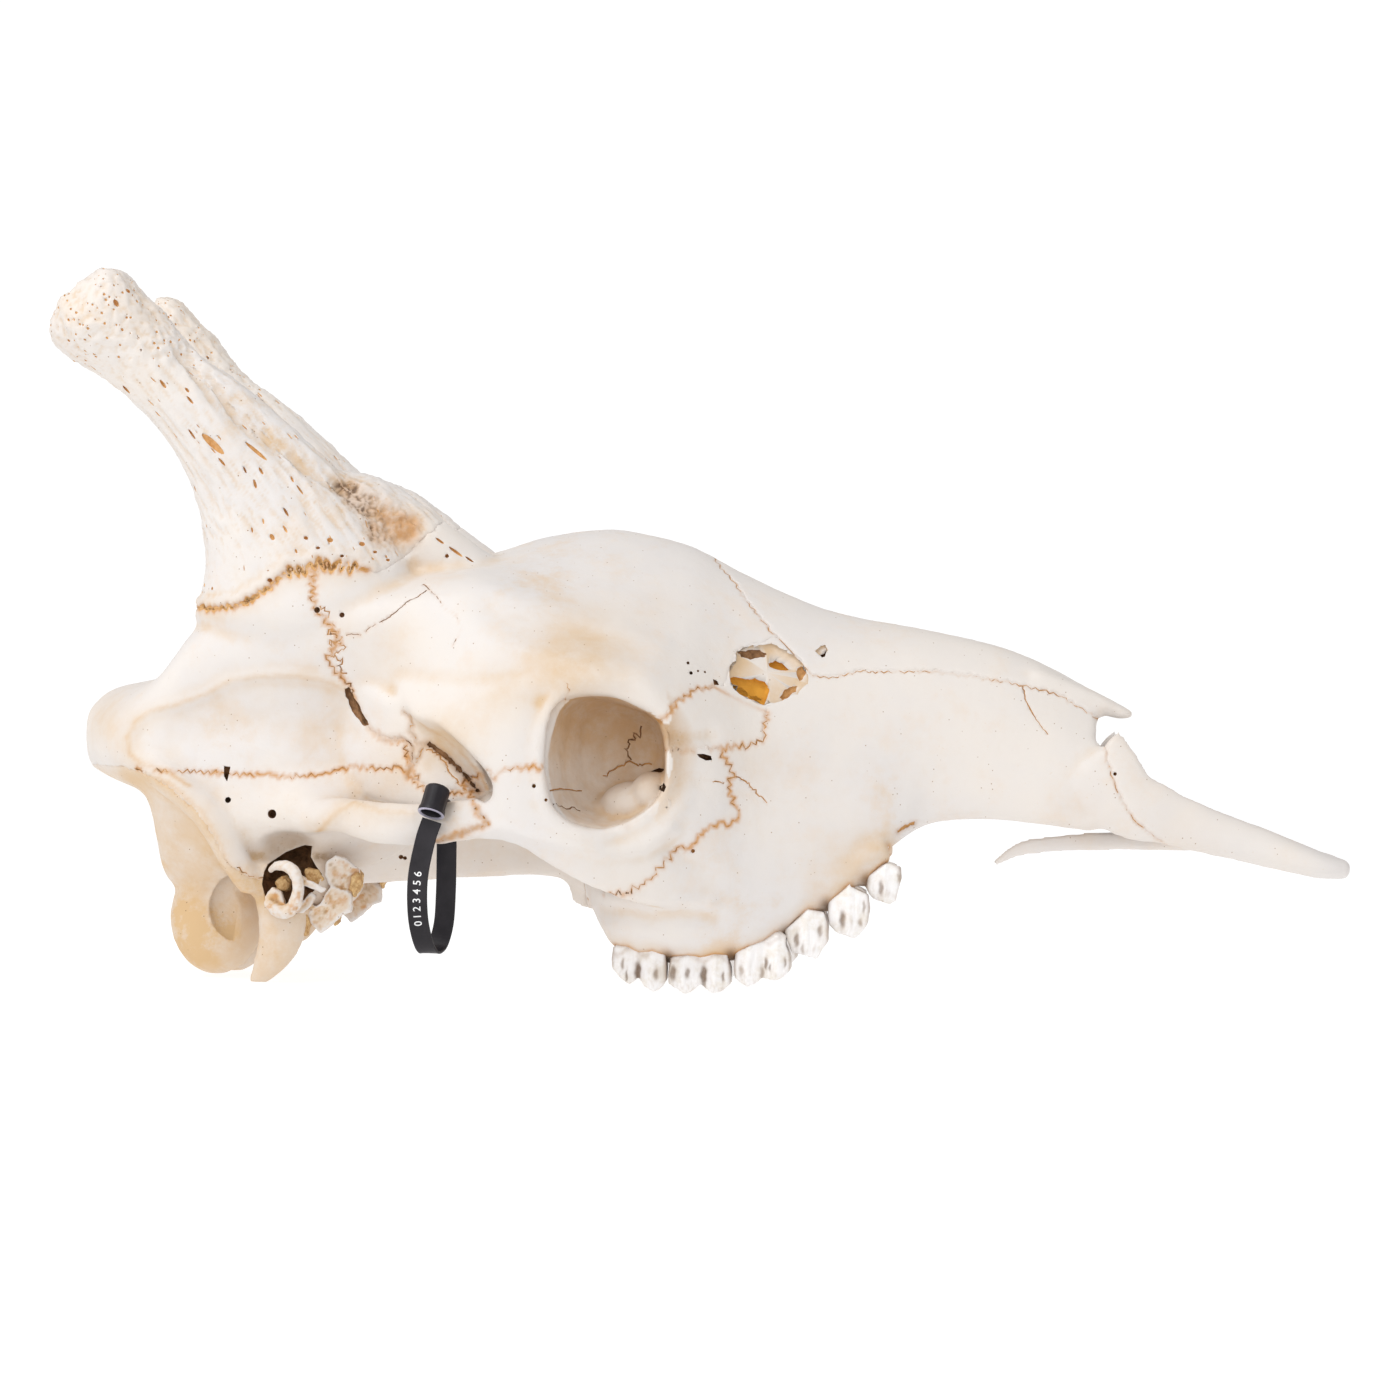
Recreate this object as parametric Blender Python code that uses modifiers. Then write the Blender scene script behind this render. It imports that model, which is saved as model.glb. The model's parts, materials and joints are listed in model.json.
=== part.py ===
"""A giraffe skull at life size, without its lower jaw, with a black loop tag on the right cheek arch.

The skull lies as it would rest, on its molars, the right process beside the condyle and the left condyle.
+X runs to the muzzle, +Y to the animal's left and +Z up. The rails and sizes below are in
millimetres, from a zero point at the middle of the skull's length on the mid-plane and the floor.
"""

import math

import bmesh
import bpy
from mathutils import Matrix, Vector

MM = 0.001
SKULL = "giraffe_skull"

# Moves the zero point to the middle of the outer box.
FORWARD_SHIFT = -2.46

# Gap that touching bones keep
SEAM = 0.3

# Fineness of the one-piece skull before it is parted
VOXEL = 2.6
SMOOTH_ROUNDS = 5
BONE_TRIANGLES = 7600
STATION_STEP = 7.0
RING_POINTS = 40

# Side-view rails of the right half: x, half-width, height. The left half mirrors them.
ROOF = [
    (-319, 0, 138), (-309, 0, 147), (-290, 0, 152), (-277, 0, 156), (-262, 0, 175), (-240, 0, 190),
    (-200, 0, 200), (-150, 0, 213), (-106, 0, 224), (-83, 0, 232), (-52, 0, 237), (-33, 0, 235.5),
    (-6, 0, 229), (21, 0, 216), (39, 0, 208), (69, 0, 197), (111, 0, 190), (155, 0, 181),
    (181, 0, 171), (205, 0, 159),
]
SHOULDER = [
    (-319, 10, 136), (-309, 20, 142), (-296, 30, 147), (-277, 38, 154), (-255, 44, 181),
    (-200, 50, 196), (-150, 48, 209), (-106, 40, 217), (-52, 38, 222), (-6, 35, 214), (21, 30, 203),
    (50, 24, 193), (80, 20, 187), (120, 17, 183), (160, 14, 176), (205, 12, 157),
]
BROW_RIDGE = [
    (-319, 15, 131), (-309, 34, 134), (-296, 50, 138), (-277, 58, 148), (-252, 64, 172),
    (-220, 73, 178), (-185, 79, 184), (-150, 82, 192), (-113, 84, 201), (-82, 86, 195),
    (-36, 88, 181), (-6, 76, 176), (20, 57, 172), (50, 45, 170), (84, 37, 168), (120, 31, 167),
    (157, 26, 162), (187, 20, 155), (205, 16, 149),
]
ORBIT_ROOF = [
    (-319, 16, 125), (-309, 41, 126), (-296, 59, 127), (-277, 64, 131), (-248, 62, 135),
    (-205, 64, 139), (-175, 66, 144), (-150, 77, 150), (-125, 95, 156), (-100, 106, 161),
    (-57, 113, 160), (-25, 110, 157), (-8, 101, 150), (10, 87, 142), (30, 69, 138), (57, 57, 138),
    (84, 48, 138), (121, 39, 139), (157, 34, 137), (187, 31, 133), (205, 30, 129),
]
SIDE_WALL = [
    (-319, 15, 118), (-309, 39, 115), (-296, 58, 112), (-277, 67, 112), (-248, 67, 112),
    (-205, 65, 110), (-175, 62, 112), (-150, 67, 117), (-125, 78, 121), (-100, 86, 124),
    (-57, 70, 128), (-32, 74, 128), (-16, 96, 118), (0, 97, 112), (12, 88, 110), (30, 72, 109),
    (57, 60, 109), (84, 51, 112), (121, 40, 117), (157, 36, 117), (187, 35, 115), (205, 34, 112),
]
CHEEK = [
    (-319, 11, 112), (-309, 29, 107), (-296, 44, 102), (-277, 62, 97), (-258, 70, 92), (-239, 72, 80),
    (-215, 74, 80), (-190, 78, 86), (-165, 66, 88), (-140, 42, 86), (-85, 32, 82), (-57, 42, 74),
    (-34, 78, 66), (-10, 90, 66), (10, 86, 62), (30, 77, 60), (57, 66, 67), (84, 55, 80),
    (105, 46, 91), (121, 39, 99), (157, 36, 102), (187, 35, 100), (205, 34, 96),
]
LOWER_EDGE = [
    (-319, 5, 108), (-309, 15, 103), (-296, 27, 99), (-284, 34, 96), (-278, 37, 82), (-274, 38, 60),
    (-265, 38, 49), (-239, 38, 44), (-215, 34, 48), (-165, 24, 52.5), (-110, 18, 56), (-72, 22, 57),
    (-55, 34, 50), (-46, 56, 38), (-36, 67, 26), (-10, 70, 22), (20, 69, 22), (40, 67, 30),
    (60, 62, 45), (84, 55, 62), (104, 43, 79), (121, 36, 89.5), (157, 32, 92), (187, 32, 89),
    (205, 33, 87),
]
GUM_EDGE = [
    (-319, 3, 107), (-300, 14, 99), (-286, 18, 92), (-279, 20, 76), (-274, 20, 54), (-262, 20, 47),
    (-239, 20, 43), (-190, 14, 49), (-110, 8, 57), (-72, 10, 58), (-55, 22, 52), (-46, 36, 40),
    (-36, 42, 28), (-10, 43, 24), (20, 42, 24), (40, 41, 32), (60, 38, 47), (84, 34, 64),
    (104, 27, 81), (121, 20, 91), (157, 17, 94), (205, 18, 92),
]
PALATE = [
    (-319, 0, 107), (-300, 0, 99), (-286, 0, 92), (-280, 0, 74), (-274, 0, 52), (-262, 0, 46),
    (-239, 0, 43), (-190, 0, 49), (-110, 0, 57), (-60, 0, 60), (-30, 0, 52), (20, 0, 50),
    (60, 0, 60), (84, 0, 73), (104, 0, 85), (121, 0, 94), (157, 0, 97), (205, 0, 95),
]
RAILS = [ROOF, SHOULDER, BROW_RIDGE, ORBIT_ROOF, SIDE_WALL, CHEEK, LOWER_EDGE, GUM_EDGE, PALATE]

# Orbit: a raised ring round a deep cup
ORBIT_CENTRE = (-39, 107.5, 118)
ORBIT_HALF_LENGTH = 34
ORBIT_HALF_HEIGHT = 37
ORBIT_RIM_RADIUS = 4.6
ORBIT_TURN = math.radians(14)
ORBIT_CUP = (29.5, 62, 32.5)

# Cheek arch, bar behind the orbit and plate below it: x, y, z, half-thickness, half-height
ARCH = [
    (-196, -70, 84, 9, 8), (-176, -82, 87, 8, 9), (-152, -96, 84, 6, 11), (-126, -105, 84, 5.5, 11),
    (-100, -110, 88, 5.5, 11), (-78, -112, 87, 6.5, 13), (-56, -110, 76, 7, 14),
    (-36, -102, 67, 7, 15), (-16, -91, 63, 9, 17), (4, -78, 62, 10, 18),
]
ORBIT_BAR = [
    (-112, -90, 172, 10, 44), (-104, -103, 152, 10, 38), (-96, -109, 134, 8, 29),
    (-87, -112, 115, 6.5, 19), (-82, -112, 100, 6.5, 16), (-80, -112, 84, 6.5, 18),
]

# Thick roof of the orbit: x, y, z, half-thickness, half-height
BROW = [
    (-98, -103, 146, 10, 12), (-76, -108, 154, 10, 10), (-46, -109, 160, 9, 9),
    (-20, -104, 156, 9, 9), (-4, -96, 146, 10, 10),
]

# Ossicone: x, y, z of the middle, half-size along the skull, half-size across
OSSICONE = [
    (-196, -38, 160, 46, 30), (-199, -45, 184, 58, 36), (-201, -50, 207, 53.5, 31),
    (-210, -54, 230, 44, 27), (-226, -59, 257, 33, 23), (-247, -65, 284, 25, 21),
    (-268, -70, 303, 21, 20), (-286, -74, 320, 22, 22), (-301, -77, 333, 25, 24),
    (-310.5, -78, 343, 25.5, 21), (-317, -79, 350.5, 19, 13),
]
OSSICONE_LEAN_STEP = 0.34
BUTTRESS = [
    (-240, -58, 275, 13, 10), (-208, -51, 255.5, 16, 12), (-170, -43, 243.5, 17, 16),
    (-138, -35, 223, 17, 16), (-108, -26, 204.5, 16, 14),
]

# Back of the skull
CONDYLE_CENTRE = (-245, -30, 31)
CONDYLE_RADII = (24.5, 16, 29.5)
FORAMEN_RADIUS = 15.5
FORAMEN_HEIGHT = 52
PROCESS_BESIDE_CONDYLE = [
    (-212, -56, 62, 10, 15), (-207, -57, 40, 8, 14), (-207, -57, 24, 7, 12),
    (-212, -56, 10, 5.5, 9.5), (-217, -55, -3, 5, 7),
]
# The left process is worn short, and the left condyle takes its share of the weight.
WORN_PROCESS = [
    (-214, 56, 62, 10, 15), (-212, 57, 42, 8, 13), (-214, 57, 27, 7, 10), (-219, 56, 16, 5, 7),
]
LEFT_CONDYLE_SHIFT = (-4, 0, -3.4)

# Slot between the braincase and the bar behind the orbit: x and z of its corners, y of its ends
TEMPORAL_SLOT = [
    (-145, 143), (-136, 138), (-125, 134), (-110, 122), (-102, 114), (-96, 104), (-97, 97),
    (-103, 95), (-110, 103), (-119, 112), (-131, 124), (-138, 133),
]
TEMPORAL_SLOT_ENDS = (130, 74)
NUCHAL_RIM = [
    (-312, 0, 128, 8, 12), (-303, -34, 126, 8, 13), (-282, -59, 114, 7, 9),
    (-262, -71, 100, 6, 8), (-243, -74, 84, 6, 8), (-231, -70, 64, 6, 8), (-221, -62, 48, 6, 7),
]

# Ear: a ring of curled bone under a dark hollow, and the broken plates in front of it
EAR_HOLLOW_CENTRE = (-203, -74, 68)
EAR_HOLLOW_RADII = (17, 22, 10)
EAR_BULLA_CENTRE = (-196, -47, 50)
EAR_BULLA_RADII = (17, 15, 17)
EAR_CURL = [
    (-190, -62, 66, 4.5), (-202, -68, 62, 4.5), (-211, -69, 52, 4.5), (-207, -66, 40, 4.5),
    (-196, -60, 36, 4.5), (-189, -54, 42, 4.5),
]
EAR_PLATES = [(-187, -56, 42, 11, 19, 0.3), (-174, -50, 59, 5, 11, -0.2)]

# Muzzle: x, y, z, half-thickness, half-height
PREMAXILLA = [
    (200, -31, 121, 5, 25), (209, -31.5, 113.5, 5, 23), (218, -31.5, 105.5, 5, 19.5),
    (226, -31, 100.5, 5, 18), (236, -30.5, 97.5, 5, 16.5), (247, -29.5, 94, 5, 14),
    (260, -29, 90, 6, 12.5), (276, -28.5, 85.5, 7, 10.8), (292, -28, 81.3, 8.5, 9.8),
    (308, -28, 76.8, 10, 8.2), (322, -28, 73, 10, 6.6), (335, -27.5, 71.5, 6.5, 4.5),
]
# Rim of bone that the premolars grow from: x, y, z, half-thickness, half-height
TOOTH_SOCKET = [
    (56, -54.5, 47, 9.5, 8), (72, -51.5, 57, 9.5, 8), (88, -48, 70, 9, 8), (99, -45.5, 77, 8, 8),
]
PALATE_BLADE = [
    (256, -27, 85, 5, 6), (244, -20, 83.5, 4, 5), (228, -11, 82.5, 2.6, 4.5), (206, -6, 81.5, 1.8, 4.6),
    (184, -4.5, 79.5, 1.5, 4.2), (168, -4.5, 76.5, 1.4, 3.6), (155, -4.5, 69, 1.0, 1.6),
]
NASAL_TIP = [
    (172, -11, 166, 11, 6), (188, -9.5, 160.5, 9.5, 5.5), (205, -8, 153.5, 8, 5),
    (218, -6.5, 148.3, 6.5, 3.6), (227, -5.5, 145, 4.5, 2.4),
]
NASAL_PASSAGE = [
    (70, 22, 104, 158), (100, 28, 102, 168), (140, 27, 104, 164), (180, 26, 102, 144),
    (202, 24, 100, 134), (214, 26, 92, 144), (244, 26, 78, 150), (262, 25, 70, 150),
]
CHOANA = [
    (-112, 9, 46, 62), (-80, 12, 40, 76), (-50, 14, 40, 80), (-22, 13, 44, 80),
]

# Plates beside the choana: x, y, z, half-length, half-height
PTERYGOID = (-50, -22, 52, 12, 14)
PTERYGOID_THICKNESS = 5

# Cheek teeth of one side, rear to front: x of the middle, length, lowest point, gum height, y
TEETH = [
    (-23.2, 28.6, 1.6, 22, -58.5),
    (7.3, 32, -0.4, 21, -59),
    (38.8, 28.8, 5.4, 29, -58),
    (60.7, 22.4, 19.4, 44, -54.5),
    (81.2, 21.6, 30.4, 57, -50.5),
    (98.8, 17.6, 48.2, 69, -45.5),
]
MOLARS = 3
MOLAR_WIDTH = 25
PREMOLAR_WIDTH = 21
ROOT_DEPTH = 9
CUSP_RISE = 4.2

# Gap in the cheek bone before the orbit: x, y, z, half-length, half-height
FACE_GAP = (38, -58, 164, 22, 16)
FACE_GAP_DEPTH = 26

# Side-view outlines of the bones, in the order in which they are parted from the rest:
# name, paired, nearest and furthest from the mid-plane, x and z of the corners
BONES = [
    ("ossicone", True, 4, 140, [
        (-262, 188), (-252, 190), (-230, 191), (-220, 196), (-208, 205), (-195, 210), (-181, 213),
        (-158, 211), (-149, 218), (-134, 233), (-112, 262), (-200, 400), (-400, 400), (-400, 200),
    ]),
    ("nasal", True, 0, 60, [
        (4, 260), (7, 221), (17, 211), (24, 201), (34, 190), (46, 177), (57, 164), (84, 166),
        (121, 167), (157, 163), (177, 159), (196, 151), (206, 144), (250, 138), (250, 260),
    ]),
    ("premaxilla", True, 0, 60, [
        (204, 150), (211, 122), (221, 99), (236, 85), (246, 60), (360, 50), (360, 150),
    ]),
    ("jugal", True, 66, 140, [
        (-98, 112), (-90, 111), (-84, 114), (-70, 114), (-50, 121), (-26, 124), (-14, 126),
        (16, 126), (23, 113), (20, 106), (26, 92), (16, 88), (6, 80), (-4, 75), (-10, 68),
        (-21, 57), (-41, 52), (-60, 30), (-126, 60), (-129, 75), (-114, 79), (-103, 84),
        (-97, 86), (-104, 97), (-112, 104),
    ]),
    ("lacrimal", True, 54, 140, [
        (-30, 124), (-25, 133), (-10, 140), (-6, 148), (3, 154), (19, 158), (30, 152), (41, 149),
        (37, 142), (37, 131), (30, 127), (15, 122),
    ]),
    ("occipital", False, 0, 140, [
        (-340, 117), (-300, 114), (-274, 105), (-262, 99), (-248, 88), (-239, 76), (-232, 62),
        (-222, 54), (-196, 50), (-188, 36), (-188, -20), (-340, -20),
    ]),
    ("temporal", True, 34, 140, [
        (-300, 108), (-236, 106), (-198, 105), (-187, 106), (-171, 111), (-154, 110), (-146, 112),
        (-130, 100), (-90, 100), (-90, 30), (-300, 30),
    ]),
    ("frontal", False, 0, 140, [
        (-192, 240), (-192, 194), (-183, 183), (-177, 175), (-185, 165), (-178, 156), (-171, 144),
        (-163, 130), (-154, 125), (-143, 125), (-139, 116), (-132, 106), (-34, 104), (-24, 118),
        (-6, 148), (19, 162), (57, 170), (70, 260), (-100, 300),
    ]),
    ("skull_base", False, 0, 140, [
        (-240, 20), (-240, 92), (-150, 106), (-60, 106), (-52, 30), (-100, 20),
    ]),
    ("maxilla", True, 0, 140, [(-70, -20), (-60, 108), (-20, 240), (300, 240), (300, -20)]),
    ("parietal", False, 0, 140, [(-360, 60), (-360, 300), (-120, 300), (-120, 60)]),
]

# Loop tag on the right cheek arch
STRAP_WIDTH = 10
STRAP_THICKNESS = 1.8
LOCK_RADIUS = 6.2
LOCK_LENGTH = 15
LOCK_CENTRE = (-123, -119, 98)
STRAP_ROUTE = [
    (-124, -119, 88.2), (-127, -119, 78), (-130, -118.5, 60), (-130, -116, 42), (-128, -111, 29),
    (-125.5, -104, 22.5), (-122.5, -95, 25), (-120, -90.5, 36), (-119.5, -89, 52),
    (-119.5, -90, 68), (-119.5, -92, 80), (-120, -94, 90), (-122, -98, 96.5), (-123, -104, 98),
    (-123, -112.2, 98),
]

COLOURS = {
    "ossicone": (0.86, 0.80, 0.72), "nasal": (0.87, 0.83, 0.78), "premaxilla": (0.87, 0.82, 0.75),
    "jugal": (0.86, 0.80, 0.73), "lacrimal": (0.86, 0.79, 0.72), "occipital": (0.84, 0.78, 0.68),
    "temporal": (0.85, 0.79, 0.70), "frontal": (0.88, 0.84, 0.79), "skull_base": (0.80, 0.72, 0.60),
    "maxilla": (0.87, 0.83, 0.78), "parietal": (0.88, 0.83, 0.77),
    "tag_strap": (0.03, 0.028, 0.03), "tag_lock": (0.035, 0.033, 0.034),
}


def clear_scene():
    for obj in list(bpy.data.objects):
        bpy.data.objects.remove(obj, do_unlink=True)


def make_collection(name):
    found = bpy.data.collections.new(name)
    bpy.context.scene.collection.children.link(found)
    return found


def add_mesh(name, verts, faces, collection):
    mesh = bpy.data.meshes.new(name)
    mesh.from_pydata([tuple(MM * c for c in v) for v in verts], [], faces)
    bm = bmesh.new()
    bm.from_mesh(mesh)
    bmesh.ops.recalc_face_normals(bm, faces=bm.faces)
    bm.to_mesh(mesh)
    bm.free()
    obj = bpy.data.objects.new(name, mesh)
    collection.objects.link(obj)
    return obj


def smooth_rail(rail, x):
    """Half-width and height of a rail at x, on a cubic with damped slopes."""
    if x <= rail[0][0]:
        return rail[0][1:]
    if x >= rail[-1][0]:
        return rail[-1][1:]
    i = max(k for k in range(len(rail) - 1) if rail[k][0] <= x)
    x0, x1 = rail[i][0], rail[i + 1][0]
    t = (x - x0) / (x1 - x0)
    result = []
    for axis in (1, 2):
        low, high = rail[i][axis], rail[i + 1][axis]
        before = rail[i - 1] if i else rail[i]
        after = rail[i + 2] if i + 2 < len(rail) else rail[i + 1]
        slope_low = (high - before[axis]) / (x1 - before[0])
        slope_high = (after[axis] - low) / (after[0] - x0)
        step = x1 - x0
        value = (
            (2 * t**3 - 3 * t**2 + 1) * low
            + (t**3 - 2 * t**2 + t) * step * slope_low
            + (3 * t**2 - 2 * t**3) * high
            + (t**3 - t**2) * step * slope_high
        )
        result.append(value)
    return tuple(result)


def catmull(points, t):
    """Point on a curve through the points, t running from 0 to their number less one."""
    i = min(int(t), len(points) - 2)
    f = t - i
    p1, p2 = points[i], points[i + 1]
    p0 = points[i - 1] if i else p1
    p3 = points[i + 2] if i + 2 < len(points) else p2
    return tuple(
        0.5 * (2 * b + (c - a) * f + (2 * a - 5 * b + 4 * c - d) * f * f + (3 * b - a - 3 * c + d) * f**3)
        for a, b, c, d in zip(p0, p1, p2, p3)
    )


def loft(name, rings, collection):
    """Closed body through rings of equal point counts, with a fan on each end."""
    count = len(rings[0])
    verts = [p for ring in rings for p in ring]
    faces = []
    for r in range(len(rings) - 1):
        for k in range(count):
            n = (k + 1) % count
            faces.append((r * count + k, r * count + n, (r + 1) * count + n, (r + 1) * count + k))
    for ring_index in (0, len(rings) - 1):
        ring = rings[ring_index]
        centre = tuple(sum(p[axis] for p in ring) / count for axis in range(3))
        verts.append(centre)
        for k in range(count):
            faces.append((ring_index * count + k, ring_index * count + (k + 1) % count, len(verts) - 1))
    return add_mesh(name, verts, faces, collection)


def skull_core(collection):
    """The main body, lofted on the rails from the nuchal crest to the front of the cheek bones."""
    first, last = ROOF[0][0], ROOF[-1][0]
    count = round((last - first) / STATION_STEP)
    rings = []
    for s in range(count + 1):
        x = first + (last - first) * s / count
        half = [smooth_rail(rail, x) for rail in RAILS]
        steps = RING_POINTS // 2
        wrapped = [(-half[1][0], half[1][1])] + half + [(-half[-2][0], half[-2][1])]
        side = [catmull(wrapped, 1 + (len(half) - 1) * k / steps) for k in range(steps + 1)]
        right = [(x, -max(y, 0.0), z) for y, z in side]
        left = [(x, -y, z) for _, y, z in right[-2:0:-1]]
        rings.append(right + left)
    return loft("core", rings, collection)


def ellipse_ring(centre, along, across, half_along, half_across, points=14):
    turns = [2 * math.pi * k / points for k in range(points)]
    return [
        tuple(
            centre[i] + along[i] * half_along * math.cos(a) + across[i] * half_across * math.sin(a)
            for i in range(3)
        )
        for a in turns
    ]


def bar(name, stations, collection, steps=3, points=14):
    """Bent bar with an oval section: x, y, z, half-thickness across, half-height."""
    count = (len(stations) - 1) * steps
    path = [catmull(stations, (len(stations) - 1) * k / count) for k in range(count + 1)]
    rings = []
    for k, station in enumerate(path):
        ahead = Vector(path[min(k + 1, count)][:3]) - Vector(path[max(k - 1, 0)][:3])
        ahead.normalize()
        side = Vector((0, 1, 0)) - ahead * ahead.y
        if side.length < 0.3:
            side = Vector((1, 0, 0)) - ahead * ahead.x
        side.normalize()
        up = ahead.cross(side)
        rings.append(ellipse_ring(station[:3], up, side, station[4], station[3], points))
    return loft(name, rings, collection)


def mirrored(obj, collection):
    copy = obj.copy()
    copy.data = obj.data.copy()
    copy.data.transform(Matrix.Scale(-1, 4, (0, 1, 0)))
    copy.data.flip_normals()
    copy.name = obj.name + "_left"
    collection.objects.link(copy)
    return copy


def ellipsoid(name, centre, radii, collection, turn=0.0, segments=20, rings=12):
    mesh = bpy.data.meshes.new(name)
    bm = bmesh.new()
    bmesh.ops.create_uvsphere(bm, u_segments=segments, v_segments=rings, radius=1.0)
    bm.transform(Matrix.Diagonal((*(MM * r for r in radii), 1.0)))
    bm.transform(Matrix.Rotation(turn, 4, "Z"))
    bm.transform(Matrix.Translation([MM * c for c in centre]))
    bm.to_mesh(mesh)
    bm.free()
    obj = bpy.data.objects.new(name, mesh)
    collection.objects.link(obj)
    return obj


def orbit_ring(collection):
    """Raised rim of the orbit, an oval ring that faces outwards and a little forwards."""
    segments, sides = 28, 10
    cx, cy, cz = ORBIT_CENTRE
    turn = Matrix.Rotation(ORBIT_TURN, 3, "Z")
    verts = []
    for s in range(segments):
        a = 2 * math.pi * s / segments
        for k in range(sides):
            b = 2 * math.pi * k / sides
            grow = ORBIT_RIM_RADIUS * math.cos(b)
            point = Vector((
                (ORBIT_HALF_LENGTH + grow) * math.cos(a),
                ORBIT_RIM_RADIUS * math.sin(b),
                (ORBIT_HALF_HEIGHT + grow) * math.sin(a),
            ))
            point = turn @ point
            verts.append((cx + point.x, -cy + point.y, cz + point.z))
    faces = []
    for s in range(segments):
        for k in range(sides):
            n, m = (s + 1) % segments, (k + 1) % sides
            faces.append((s * sides + k, s * sides + m, n * sides + m, n * sides + k))
    return add_mesh("orbit_ring", verts, faces, collection)


def ossicone(collection):
    """Flared horn core that leans back and out and ends in a knob."""
    rings = []
    count = (len(OSSICONE) - 1) * 3
    for k in range(count + 1):
        t = (len(OSSICONE) - 1) * k / count
        x, y, z, along, across = catmull(OSSICONE, t)
        lean = min(max(t - 1, 0) * OSSICONE_LEAN_STEP / 2, 0.75)
        axis = Vector((math.cos(lean), 0, math.sin(lean)))
        rings.append(ellipse_ring((x, y, z), axis, Vector((0, 1, 0)), along, across, 20))
    return loft("ossicone", rings, collection)


def plate(name, centre, half_length, half_height, thickness, turn, collection):
    rings = []
    for k in range(7):
        s = 2 * k / 6 - 1
        size = half_height * math.sqrt(max(1 - 0.8 * s * s, 0.05))
        along = Vector((math.cos(turn), math.sin(turn), 0))
        middle = [centre[i] + along[i] * half_length * s for i in range(3)]
        through = Vector((-along.y, along.x, 0))
        rings.append(ellipse_ring(middle, Vector((0, 0, 1)), through, size, thickness / 2, 10))
    return loft(name, rings, collection)


def passage(name, stations, collection):
    """Tube of rounded rectangular section on the mid-plane: x, half-width, floor, roof."""
    rings = []
    for x, half, floor, roof in stations:
        ring = []
        for k in range(20):
            a = 2 * math.pi * k / 20
            y = math.copysign(abs(math.cos(a)) ** 0.6, math.cos(a)) * half
            z = math.copysign(abs(math.sin(a)) ** 0.7, math.sin(a)) * (roof - floor) / 2
            ring.append((x, y, (roof + floor) / 2 + z))
        rings.append(ring)
    return loft(name, rings, collection)


def box(name, low, high, collection):
    bm = bmesh.new()
    bmesh.ops.create_cube(bm, size=1.0)
    for vert in bm.verts:
        for axis in range(3):
            middle = (low[axis] + high[axis]) / 2
            vert.co[axis] = MM * (middle + vert.co[axis] * (high[axis] - low[axis]))
    mesh = bpy.data.meshes.new(name)
    bm.to_mesh(mesh)
    bm.free()
    obj = bpy.data.objects.new(name, mesh)
    collection.objects.link(obj)
    return obj


def apply_modifiers(obj):
    graph = bpy.context.evaluated_depsgraph_get()
    graph.update()
    mesh = bpy.data.meshes.new_from_object(obj.evaluated_get(graph))
    obj.modifiers.clear()
    obj.data = mesh


def boolean(obj, operation, other, solver="MANIFOLD"):
    """Joins or cuts by an object or by a whole collection, and applies it."""
    for cutter in getattr(other, "objects", [other]):
        cutter.display_type = "WIRE"
    modifier = obj.modifiers.new(operation, "BOOLEAN")
    modifier.operation = operation
    modifier.solver = solver
    if isinstance(other, bpy.types.Collection):
        modifier.operand_type = "COLLECTION"
        modifier.collection = other
    else:
        modifier.object = other
    apply_modifiers(obj)


def remove_objects(collection):
    for obj in list(collection.objects):
        bpy.data.objects.remove(obj, do_unlink=True)


def keep_largest(obj):
    """Keeps the closed surface with the most volume, which drops scraps and fills sealed hollows."""
    bm = bmesh.new()
    bm.from_mesh(obj.data)
    bmesh.ops.remove_doubles(bm, verts=bm.verts, dist=0.00001)
    bmesh.ops.triangulate(bm, faces=bm.faces)
    bm.verts.ensure_lookup_table()
    seen = set()
    shells = []
    for vert in bm.verts:
        if vert.index in seen:
            continue
        stack = [vert]
        shell = []
        seen.add(vert.index)
        while stack:
            here = stack.pop()
            shell.append(here)
            for edge in here.link_edges:
                there = edge.other_vert(here)
                if there.index not in seen:
                    seen.add(there.index)
                    stack.append(there)
        faces = {face for v in shell for face in v.link_faces}
        volume = sum(
            face.verts[0].co.dot(face.verts[1].co.cross(face.verts[2].co)) for face in faces
        )
        shells.append((volume, shell))
    shells.sort(key=lambda pair: -pair[0])
    dropped = [v for _, shell in shells[1:] for v in shell]
    bmesh.ops.delete(bm, geom=dropped, context="VERTS")
    bm.to_mesh(obj.data)
    bm.free()


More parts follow.
